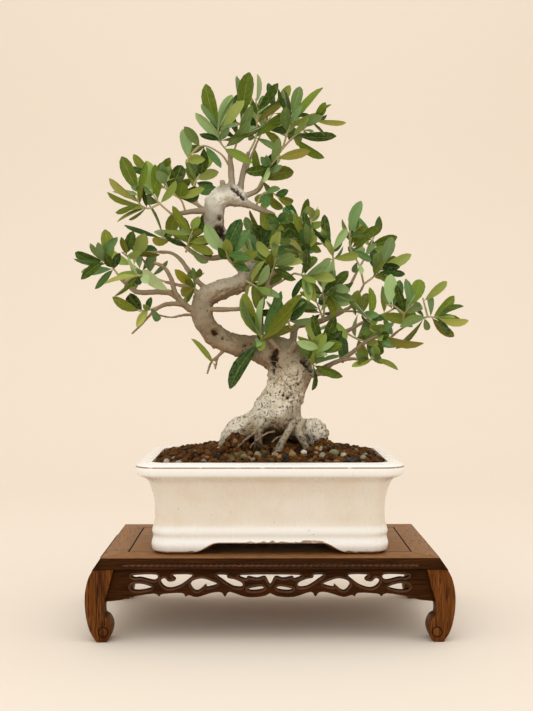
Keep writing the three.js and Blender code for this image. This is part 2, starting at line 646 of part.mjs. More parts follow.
// Each spray is one or more shoots: the drawn path of the twig, its depth at both ends, and its leaves as
// [x, z, width] of the drawn tips, listed in opposite pairs from the first node of the twig to its end.
// A shoot with a count in place of leaves bears that many by rule.
const SPRAYS = {
  top_left: [
    {
      path: [[-48, 562], [-53, 570], [-61.5, 582], [-62.5, 601.5]],
      depth: [-7, -24],
      leaves: [
        [-23.5, 604, 12], [-88.5, 615, 11], [-69, 606.5, 9], [-29.5, 628.5, 12], [-45.5, 636, 12],
        [-77.5, 649, 16],
      ],
    },
  ],
  top_centre: [
    {
      path: [[-47, 556], [-38, 584.5], [-33.5, 610]],
      depth: [-4, -16],
      leaves: [[-52, 616, 9], [-21, 623.5, 11], [-40.5, 659, 6], [-24.5, 664, 18]],
    },
  ],
  top_mid: [
    {
      path: [[-25.5, 565], [-16.5, 584.5], [-15, 609], [-16.5, 632]],
      depth: [10, 26],
      leaves: [
        [21.5, 612.5, 12], [-21, 599, 10], [-14, 620, 11], [16.5, 626, 9], [-4, 634.5, 10],
        [10.5, 650.5, 11], [-15, 661.5, 6],
      ],
    },
  ],
  top_right: [
    {
      path: [[16.5, 572], [22.5, 593], [29, 614]],
      depth: [20, 6],
      leaves: [[36, 588, 9], [20.5, 621, 12], [62, 612.5, 10], [63, 648, 10], [37.5, 648, 13]],
    },
  ],
  right_crown: [
    {
      path: [[10, 564], [27.5, 583.5], [42, 595.5], [58, 610]],
      depth: [16, -14],
      leaves: [
        [42, 586, 11], [81.5, 587, 11], [53, 581, 7], [63, 610, 10], [93.5, 603, 6], [67, 625, 10],
      ],
    },
  ],
  under_crown: [
    {
      path: [[-14, 521], [-9, 532], [0, 548], [11.5, 562.5]],
      depth: [2, -34],
      leaves: [
        [30, 543, 16], [-17.5, 568.5, 9], [14, 563.5, 11], [16.5, 550, 7], [-28.5, 543, 12],
        [12, 583, 10], [48.5, 568.5, 11],
      ],
    },
  ],
  knuckle_right: [
    {
      path: [[-16, 502], [-9, 515], [1, 518.5], [12, 511]],
      depth: [-5, -30],
      leaves: [[15.5, 498, 10], [-4, 500, 12], [30, 505, 10]],
    },
  ],
  upper_left: [
    {
      path: [[-48, 548], [-58, 563.5], [-76, 574], [-86, 573.5]],
      depth: [0, -24],
      leaves: [[-84.5, 539.5, 12], [-104, 598, 11]],
    },
    {
      path: [[-86, 573.5], [-97, 562.5], [-100.5, 554]],
      depth: [-24, -34],
      leaves: [[-105.5, 595.5, 13], [-78.5, 557.5, 11]],
    },
  ],
  left_crown: [
    {
      path: [[-119, 491], [-134.5, 505], [-144.5, 520]],
      depth: [-18, -34],
      leaves: [[-154.5, 512.5, 11], [-139.5, 551.5, 12], [-149.5, 556.5, 15]],
    },
    {
      path: [[-133.5, 504], [-148, 498], [-159, 505], [-160.5, 520]],
      depth: [-25, -50],
      leaves: [
        [-186, 498, 6], [-197, 518.5, 5], [-187.5, 521, 7], [-197, 532, 8], [-169, 515, 7],
        [-180, 561.5, 15],
      ],
    },
  ],
  left_fan: [
    {
      path: [[-102, 493.5], [-108, 509], [-121.5, 518.5], [-128.5, 535.5]],
      depth: [-10, -28],
      leaves: [
        [-87, 520, 17], [-78.5, 522, 9], [-97, 532, 7], [-105.5, 552.5, 16], [-120, 548, 15],
        [-131, 552.5, 10],
      ],
    },
  ],
  trunk_left: [
    {
      path: [[-84, 440], [-99, 447], [-98, 460], [-93, 472]],
      depth: [22, -30],
      leaves: [[-69, 443, 11], [-65, 460, 9], [-117.5, 501.5, 10], [-87, 485.5, 10]],
    },
  ],
  left_inner: [
    {
      path: [[-110, 459.5], [-120, 460], [-133.5, 462.5]],
      depth: [34, 20],
      leaves: [[-142, 460, 11], [-111.5, 494, 16], [-115, 493, 7], [-177.5, 476, 6]],
    },
  ],
  far_left: [
    {
      path: [[-183, 415], [-192, 427], [-204.5, 435.5]],
      depth: [-5, -18],
      leaves: [
        [-231, 423.5, 10], [-199.5, 443, 10], [-200.5, 473.5, 15], [-238.5, 436.5, 6], [-237.5, 444, 12],
        [-185, 463.5, 11],
      ],
    },
  ],
  left_cluster: [
    {
      path: [[-134, 445], [-153, 444], [-167.5, 437], [-180, 445]],
      depth: [30, 8],
      leaves: [[-133.5, 443, 7], [-152, 468.5, 17], [-163, 462.5, 11], [-165.5, 471, 12]],
    },
  ],
  left_tuft: [
    {
      path: [[-176, 408], [-165.5, 415], [-153, 417]],
      depth: [-6, -30],
      leaves: [[-202, 411, 6], [-148, 408.5, 11]],
    },
  ],
  left_pale: [
    { path: [[-118, 393.5], [-122.5, 399]], depth: [-14, -32], leaves: [[-154.5, 423.5, 13]] },
  ],
  inner_left: [
    {
      path: [[-80, 386.5], [-89.5, 396.5], [-91, 408.5], [-80, 419.5]],
      depth: [-2, -30],
      leaves: [[-110.5, 394, 11], [-115, 423.5, 11], [-100.5, 417, 10]],
    },
  ],
  left_low: [
    {
      path: [[-132, 379.5], [-146, 375], [-159, 373]],
      depth: [-23, -50],
      leaves: [[-144.5, 388, 7], [-160.5, 356, 9], [-172.5, 393, 14], [-191, 390, 11]],
    },
  ],
  trunk_front: [
    {
      path: [[-33, 426], [-48, 433], [-53, 445.5]],
      depth: [2, -36],
      leaves: [[-25, 423.5, 11], [-16.5, 444, 12], [-53, 461, 12], [-23.5, 472, 10], [-34.5, 485.5, 16]],
    },
  ],
  rosette: [
    {
      path: [[-12, 330], [-9, 343]],
      depth: [-22, -46],
      leaves: [
        [-48, 278, 16], [30, 358.5, 9], [30, 379.5, 13], [-11.5, 327, 14], [-32, 395, 17],
        [36, 397.5, 12], [14, 397.5, 11],
      ],
    },
  ],
  centre_right: [
    {
      path: [[6, 491], [12, 477], [3, 457.5]],
      depth: [-14, -44],
      leaves: [[26.5, 487, 12], [-9, 479.5, 12], [2, 487, 11], [20.5, 469.5, 12], [29, 457.5, 9]],
    },
  ],
  middle_fan: [
    {
      path: [[17, 425.5], [36, 437], [44.5, 447.5], [47, 460]],
      depth: [-30, -8],
      leaves: [
        [26.5, 444, 14], [48.5, 439, 13], [24, 462.5, 6], [48.5, 454, 10], [57, 474.5, 7], [44.5, 477, 9],
        [32.5, 495.5, 10], [10.5, 482, 11],
      ],
    },
    {
      path: [[47, 460], [49.5, 476], [52, 487]],
      depth: [-8, 12],
      leaves: [[60.5, 495.5, 9], [46, 501.5, 9]],
    },
  ],
  right_fan: [
    {
      path: [[79, 421], [77.5, 440.5], [74, 456.5]],
      depth: [-13, -34],
      leaves: [[109.5, 440.5, 10], [69, 460, 7], [95, 473.5, 9], [71.5, 466, 7], [67, 490.5, 10]],
    },
  ],
  right_spur: [
    {
      path: [[66, 361], [67, 383], [64.5, 396.5]],
      depth: [9, -26],
      leaves: [[98.5, 405, 14], [37.5, 411, 6], [44.5, 411, 7], [77.5, 434.5, 11]],
    },
  ],
  right_plume: [
    {
      path: [[115.5, 405], [109.5, 429.5], [98.5, 450], [98.5, 472]],
      depth: [24, 4],
      leaves: [
        [103.5, 419.5, 7], [114.5, 452.5, 12], [137.5, 476, 12], [118, 477, 7], [103.5, 488, 13],
        [112, 507.5, 13],
      ],
    },
  ],
  right_wing: [
    {
      path: [[116.5, 407], [129, 417], [137.5, 433]],
      depth: [25, 40],
      leaves: [[153.5, 421, 7], [135, 443, 11], [153.5, 439, 11], [173, 443, 12], [150, 463.5, 14]],
    },
  ],
  right_shoulder: [
    {
      path: [[164.5, 353], [164.5, 369.5], [175.5, 382]],
      depth: [0, -20],
      leaves: [[190, 380.5, 12], [153.5, 401.5, 9], [185, 412.5, 16]],
    },
    {
      path: [[164.5, 369.5], [152, 379.5], [142.5, 380.5]],
      depth: [-10, -28],
      leaves: [[148.5, 419.5, 15]],
    },
  ],
  far_right: [
    {
      path: [[177, 361], [193.5, 366], [208.5, 364.5]],
      depth: [4, -16],
      leaves: [[137.5, 368.5, 13], [162, 355, 11], [226.5, 341.5, 11], [225.5, 391.5, 12], [243, 362, 9]],
    },
    { path: [[193.5, 366], [190, 379.5], [187.5, 389]], depth: [-6, 4], leaves: [[219.5, 408.5, 10]] },
  ],
  right_low: [
    {
      path: [[116, 312], [124, 314], [130, 317.5]],
      depth: [-36, -44],
      leaves: [[107, 320.5, 11], [157, 305, 6], [101, 305, 7], [130, 331.5, 10], [135, 329.5, 10]],
    },
  ],
  right_middle: [
    {
      path: [[140, 336], [132.5, 344], [123, 351]],
      depth: [-8, -30],
      leaves: [[143.5, 344, 10], [148.5, 331.5, 8], [186.5, 325.5, 9], [112, 349, 10]],
    },
  ],
  right_inner: [
    {
      path: [[90, 373], [108, 372], [125, 362]],
      depth: [16, -26],
      leaves: [[108.5, 399, 13], [103.5, 372, 8], [119, 394, 11], [139, 363.5, 9], [124, 402.5, 9]],
    },
  ],
  right_hanging: [
    { path: [[77, 366.5], [81.5, 360]], depth: [12, -18], leaves: [[84, 327, 10], [90, 309.5, 12]] },
  ],
  right_base: [
    {
      path: [[55, 297.5], [52, 317]],
      depth: [-11, -32],
      leaves: [[88.5, 292.5, 10], [68, 318, 7], [53.5, 344, 7], [68, 346.5, 15]],
    },
  ],
  rear_left: [
    { path: [[-125, 408], [-150, 418], [-170, 432]], depth: [79, 96], count: 5 },
  ],
  rear_centre: [
    { path: [[14.5, 446.5], [30, 462], [38, 480]], depth: [84, 98], count: 6 },
  ],
  rear_centre_low: [
    { path: [[-9, 433], [-14, 455], [-10, 475]], depth: [46, 78], count: 5 },
  ],
  rear_upper_left: [
    { path: [[-110, 513], [-130, 525], [-142, 540]], depth: [69, 92], count: 5 },
  ],
  rear_upper: [
    { path: [[-87, 502.5], [-92, 525], [-82, 545]], depth: [37, 70], count: 5 },
  ],
  rear_top: [
    { path: [[-17, 574], [-5, 600], [8, 618]], depth: [59, 76], count: 6 },
  ],
  rear_right: [
    { path: [[121, 363.5], [145, 372], [165, 385]], depth: [79, 96], count: 5 },
  ],
  rear_right_low: [
    { path: [[92, 347.5], [110, 338], [130, 335]], depth: [55, 86], count: 5 },
  ],
  rear_right_top: [
    { path: [[107, 421], [120, 445], [128, 465]], depth: [74, 92], count: 6 },
  ],
};

const draw = seededDraws(2849);

function alongPath(points, share) {
  const place = Math.min(share * (points.length - 1), points.length - 1.001);
  const index = Math.floor(place);
  return points[index].clone().lerp(points[index + 1], place - index);
}

// Tips of the leaves that a shoot bears by rule: opposite pairs turned out from the twig, one at its end.
function ruledTips({ path, count }) {
  const [from, to] = [path[path.length - 2], path[path.length - 1]];
  const heading = Math.atan2(to[1] - from[1], to[0] - from[0]);
  const tips = [];
  for (let i = 0; i < count; i += 1) {
    const share = LEAFY_FROM + (LEAFY_TO - LEAFY_FROM) * ((Math.floor(i / 2) + 1) / Math.ceil(count / 2));
    const { x, y: z } = alongPath(path.map((point) => new THREE.Vector2(...point)), share);
    const turn = i === count - 1 ? 0.1 : (i % 2 ? -1 : 1) * (0.75 + 0.4 * draw());
    const length = 27 + 10 * draw();
    const angle = heading + turn;
    tips.push([x + length * Math.cos(angle), z + length * Math.sin(angle), 9 + 4 * draw()]);
  }
  return tips;
}

// Points along the wood, the twigs and the blades placed so far, each with its spray's name and its radius.
const marks = [];

function markRod(spray, points, radii, count) {
  for (let i = 0; i <= count; i += 1) {
    const radius = radii[0] + (radii[1] - radii[0]) * (i / count);
    marks.push({ spray, point: alongPath(points, i / count), radius });
  }
}

function clearance(spray, spots) {
  let least = Infinity;
  for (const mark of marks) {
    if (mark.spray !== spray) {
      for (const spot of spots) least = Math.min(least, mark.point.distanceTo(spot) - mark.radius);
    }
  }
  return least;
}

// The tip slides along its sight line until the blade is clear of everything outside its own spray.
function placedBlade(spray, base, [x, z, width], index) {
  const seen = base.distanceTo(at(x, z, base.y));
  const lean = Math.sqrt(Math.max(BLADE_FULL_LENGTH ** 2 - seen ** 2, 0));
  const depth = THREE.MathUtils.clamp(lean, LEAN_LEAST, LEAN_MOST) * (index % 2 ? -1 : 1);
  let best = null;
  for (const share of SLIDES) {
    const tip = at(x, z, base.y + depth * share);
    const spots = [0.25, 0.5, 0.75, 1].map((step) => base.clone().lerp(tip, step));
    const room = clearance(spray, spots);
    if (!best || room > best.room + 0.01) best = { tip, spots, room };
    if (room >= KEEP_CLEAR) break;
  }
  for (const point of best.spots) marks.push({ spray, point, radius: 0 });
  const axis = best.tip.clone().sub(base).normalize();
  const length = best.tip.distanceTo(base);
  const facing = EYE.clone().sub(base).normalize();
  facing.addScaledVector(axis, -facing.dot(axis)).normalize();
  const full = Math.max(width, length * BLADE_PROPORTION);
  facing.applyAxisAngle(axis, Math.acos(Math.min(width / full, 1)) * (index % 2 ? -1 : 1));
  return { base, axis, length, width: full, facing };
}

// A flat blade with a leaf's outline: widest past its middle, drawn in to a narrow stalk and a short tip.
function bladeSolid({ base, axis, length, width, facing }, grow) {
  const half = width / 2 + grow;
  const end = length + grow;
  const outline = width < SLIGHT_WIDTH
    ? [[0, 0], [0.5, -half], [1, 0], [0.5, half]]
    : [[0, 0], [0.32, -0.84 * half], [0.7, -half], [1, 0], [0.7, half], [0.32, 0.84 * half]];
  const shape = new THREE.Shape(outline.map(([share, side]) => new THREE.Vector2(share * end, side)));
  const thickness = BLADE_THICKNESS + 2 * grow;
  const geometry = new THREE.ExtrudeGeometry(shape, { depth: thickness, bevelEnabled: false });
  geometry.translate(0, 0, -thickness / 2);
  const side = facing.clone().cross(axis);
  const place = new THREE.Matrix4().makeBasis(axis, side, facing);
  place.setPosition(base.clone().addScaledVector(axis, 0.4));
  return solidOf(geometry.applyMatrix4(place));
}

// Twigs and blades of every spray. All the twigs are marked first, so that the blades keep clear of them.
function sprayParts() {
  for (const { path, depth, radius } of LIMBS) {
    markRod('wood', limbPoints(path, depth), radius, 3 * path.length);
  }
  TRUNK.slice(1).forEach(([x, z, y, radius], i) => {
    const before = TRUNK[i];
    markRod('wood', [at(before[0], before[1], before[2]), at(x, z, y)], [before[3], radius], 4);
  });
  const parts = Object.entries(SPRAYS).map(([name, shoots]) => (
    { name, shoots, rods: shoots.map(({ path, depth }) => limbPoints(path, depth)), blades: [] }
  ));
  for (const { name, rods } of parts) rods.forEach((points) => markRod(name, points, [1.5, 1], 8));
  for (const { name, shoots, rods, blades } of parts) {
    shoots.forEach((shoot, order) => {
      const tips = shoot.leaves ?? ruledTips(shoot);
      const pairs = Math.ceil(tips.length / 2);
      tips.forEach((tip, i) => {
        const node = Math.floor(i / 2) + 1 - 0.2 * (1 - i % 2);
        const share = LEAFY_FROM + (LEAFY_TO - LEAFY_FROM) * (node / pairs);
        blades.push(placedBlade(name, alongPath(rods[order], share), tip, i));
      });
    });
  }
  return parts;
}

function spraySolid({ rods, blades }, grow) {
  const taper = (share) => TWIG_RADIUS - TWIG_TAPER * share + grow;
  const twigs = rods.map((points) => bentRod(points, taper, 3, points.length - 1));
  return joined([...twigs, ...blades.map((blade) => bladeSolid(blade, grow))]);
}

function boxesMeet(a, b) {
  const [one, two] = [a.boundingBox(), b.boundingBox()];
  return [0, 1, 2].every((axis) => one.min[axis] < two.max[axis] && two.min[axis] < one.max[axis]);
}

// Every spray is cut clear of the wood and of the sprays before it, and only its one whole body is kept.
function sprays(grownWood) {
  const meshes = [];
  const placed = [...grownWood];
  for (const parts of sprayParts()) {
    let solid = spraySolid(parts, 0);
    for (const other of placed) {
      if (boxesMeet(solid, other)) solid = solid.subtract(other);
    }
    placed.push(spraySolid(parts, GAP));
    meshes.push(named(`spray_${parts.name}`, largestBody(solid.simplify(FLATNESS)), olive));
  }
  return meshes;
}

// ---------------------------------------------------------------- assembly

const group = new THREE.Group();
const grownWood = woodSolids(GAP);
group.add(...stand(), pot(), drainScreen(-1), drainScreen(1));
group.add(soil(grownWood.slice(0, 1 + ROOTS.length)));
group.add(named('trunk', joined(woodSolids(0)), bark));
group.add(...sprays(grownWood));

export default group;
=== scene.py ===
import math
import random
from functools import partial, reduce

import bmesh
import bpy
import numpy as np
from bpy.props import FloatProperty, FloatVectorProperty, IntProperty, PointerProperty
from mathutils import Matrix, Vector, noise
from mathutils.bvhtree import BVHTree
from mathutils.kdtree import KDTree


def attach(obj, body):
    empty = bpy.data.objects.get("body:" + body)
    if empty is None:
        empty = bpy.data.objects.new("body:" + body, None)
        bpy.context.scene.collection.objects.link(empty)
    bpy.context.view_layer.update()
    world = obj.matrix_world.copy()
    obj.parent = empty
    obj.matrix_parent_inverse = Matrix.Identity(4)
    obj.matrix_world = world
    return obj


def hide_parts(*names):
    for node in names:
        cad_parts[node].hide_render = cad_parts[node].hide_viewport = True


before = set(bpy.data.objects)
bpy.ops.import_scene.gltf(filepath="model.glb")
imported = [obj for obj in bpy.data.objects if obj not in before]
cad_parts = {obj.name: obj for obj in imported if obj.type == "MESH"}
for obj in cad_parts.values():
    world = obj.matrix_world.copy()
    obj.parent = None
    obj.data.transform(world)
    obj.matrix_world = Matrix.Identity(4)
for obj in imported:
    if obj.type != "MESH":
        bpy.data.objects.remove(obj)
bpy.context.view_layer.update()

# An olive bonsai in a glazed rectangular pot, on a pierced and scroll-footed walnut stand.
# Tables and shapes are drawn in millimetres. A finished piece is scaled to metres as it is made.

bl_info = {
    "name": "Olive Bonsai",
    "version": (1, 0, 0),
    "blender": (4, 5, 0),
    "location": "View3D > Sidebar > Bonsai",
    "description": "Builds an olive bonsai, its glazed pot and its carved stand",
    "category": "Add Mesh",
}

MM = 0.001
# Play between one part of the stand and the next.
GAP = 0.3

# ---------------------------------------------------------------- the tree's table

# The tree is drawn in elevation on the plane y = 0, as seen from EYE, and each point then slides along
# its sight line to its own depth.
EYE = Vector((-11.8, -1310.0, 332.6))

# Trunk: drawn x and z, depth y, radius.
TRUNK = (
    (5, 176, 14, 22), (5, 205, 14, 23), (6, 229, 10, 26), (9.5, 248, 0, 29.5), (16, 268, -3, 22.3),
    (23.5, 284, -4, 22.6), (25.8, 301, -5, 26), (13.5, 317, -7, 23), (-9, 325.5, -9, 16.8),
    (-33, 330, -10, 13), (-58, 338.5, -9, 12.6), (-75, 353.5, -7, 12.8), (-82, 372, -4, 13.5),
    (-77.5, 390, 0, 13.5), (-58, 400, 4, 13), (-36, 407.5, 7, 12), (-26, 418.5, 8, 11.5),
    (-36, 434.5, 8, 11.5), (-51.5, 452.5, 6, 11.5), (-62.5, 468.5, 3, 11.5), (-67, 485.5, 1, 12),
    (-66, 501.5, 0, 12), (-57.5, 513, 0, 12.8), (-45.5, 514.5, 0, 13), (-36, 509.5, -2, 10),
    (-28.5, 504.5, -4, 5.6), (-21, 501, -6, 4), (-9, 496, -8, 3.6), (7, 490, -14, 2.8),
)
# Limbs and surface roots: drawn path, depth at both ends, radius at both ends.
LIMBS = (
    (((-45.6, 519), (-46.8, 545), (-48, 564)), (2, -8), (6, 3.4)),
    (((-36, 516), (-32, 543), (-25, 567)), (4, 10), (5, 3)),
    (((-72, 495), (-90, 495), (-104, 493), (-121, 490.5)), (0, -18), (5.5, 3)),
    (((-46, 443), (-66, 438), (-86, 440), (-107, 456), (-118, 468.5)), (8, 40), (5, 2.5)),
    (((-81, 373), (-96, 375.5), (-105, 383), (-115, 396.5), (-120, 413.5), (-129, 427), (-141, 432)),
     (-4, -30), (6, 2.5)),
    (((-110, 389), (-124, 396.5), (-144.5, 396), (-161.5, 396.5), (-174, 406), (-185, 417)), (-12, -5),
     (5.5, 3)),
    (((-101, 380), (-119, 382), (-132, 379), (-142, 372), (-153, 360), (-168, 345)), (-9, -48), (4.2, 1.5)),
    (((-81, 367), (-102, 368.5), (-119.5, 365.5), (-137, 368.5)), (-5, -40), (3.2, 1.3)),
    (((-74, 398), (-88, 410), (-99, 423), (-108, 435.5), (-120, 444), (-136, 445)), (2, 30), (5, 2.5)),
    (((-55, 517), (-58, 533)), (-4, -10), (5.5, 4.6)),
    (((-81, 375), (-54, 375), (-36, 375.5)), (-10, -22), (4.2, 3.2)),
    (((-50, 330), (-64, 317), (-71, 311), (-76, 296)), (-14, -28), (3.2, 1.3)),
    (((-62.5, 319), (-66.5, 302)), (-17, -24), (1.9, 1.1)),
    (((-9, 326), (-10, 350), (-10, 380.5), (-4, 399), (2, 416), (18, 426.5)), (-12, -30), (5.2, 2.3)),
    (((-4, 399), (13, 408.5), (31, 419.5)), (-23, -36), (2.4, 1.6)),
    (((26.5, 314), (29, 340), (34, 355), (54.5, 358.5), (76.5, 366.5), (90, 373), (101, 380.5),
     (112, 399), (117, 408.5)), (0, 25), (7, 1.9)),
    (((30, 294), (57, 297.5), (68, 304), (81.5, 311), (101, 315), (118, 312)), (-5, -36), (7.5, 1.9)),
    (((57, 297.5), (71, 296)), (-12, -20), (3.8, 3.4)),
    (((86, 312.5), (98.5, 320.5), (115.5, 334), (131.5, 341.5), (140, 335.5), (154.5, 346.5),
     (164.5, 353.5), (179, 362)), (-24, 4), (3.8, 1.7)),
    (((77, 366.5), (84, 389), (80, 411), (79, 423.5)), (12, -14), (3.2, 2)),
    (((-32, 512), (-14, 521), (-6.5, 535.5), (4.5, 555), (16.5, 573.5)), (0, 20), (5, 2.5)),
    (((20, 317), (33, 335)), (-18, -30), (6.4, 4.6)),
    (((15, 318), (9, 328), (0, 339)), (-20, -33), (5.6, 3.8)),
    (((-77, 387), (-97, 401), (-127, 408.5)), (4, 80), (5.2, 2.5)),
    (((-30, 420), (-9, 433), (15.5, 447.5)), (9, 85), (4.6, 2.4)),
    (((-69, 484), (-87, 502.5), (-111.5, 513.5)), (3, 70), (4.6, 2.4)),
    (((-41, 515), (-28.5, 545), (-16, 576)), (4, 60), (4.2, 2.2)),
    (((28, 315), (56, 335), (92, 347.5), (123, 364.5)), (5, 80), (6, 2.5)),
    (((78, 367), (92.5, 393), (108, 423)), (12, 75), (3.6, 2.2)),
)
ROOTS = (
    (((2, 246), (-20, 232.5), (-41, 224), (-47, 211), (-48, 194)), (-6, -18), (18.5, 13.5)),
    (((12, 247), (36, 227), (57.5, 226.5), (59, 194)), (-6, -14), (17, 13)),
    (((37, 245), (28, 234), (20, 220.5), (12, 205), (8, 192)), (-27, -52), (3.6, 5)),
    (((40, 242), (35.5, 226.6), (44, 209), (46, 196)), (-24, -38), (6.5, 4)),
    (((-17, 226), (-29, 216), (-40, 206)), (-30, -46), (2.2, 1.6)),
    (((7, 226), (-3.5, 223.5), (-17, 214), (-24, 206)), (-26, -44), (1.7, 1.6)),
    (((18, 221), (9, 218), (2.8, 212.5)), (-30, -42), (1.7, 1.6)),
    (((-17, 228), (-16.5, 219), (-18, 206)), (-26, -32), (2.6, 1.6)),
    (((-6, 244), (-12, 232), (-13, 216), (-10, 200)), (-20, -24), (7, 4)),
    (((-4, 242), (-26, 226), (-46, 192)), (12, 40), (18, 12)),
    (((12, 244), (34, 226), (50, 192)), (12, 42), (18, 11)),
    (((4, 238), (6, 218), (8, 190)), (14, 54), (17, 9)),
)
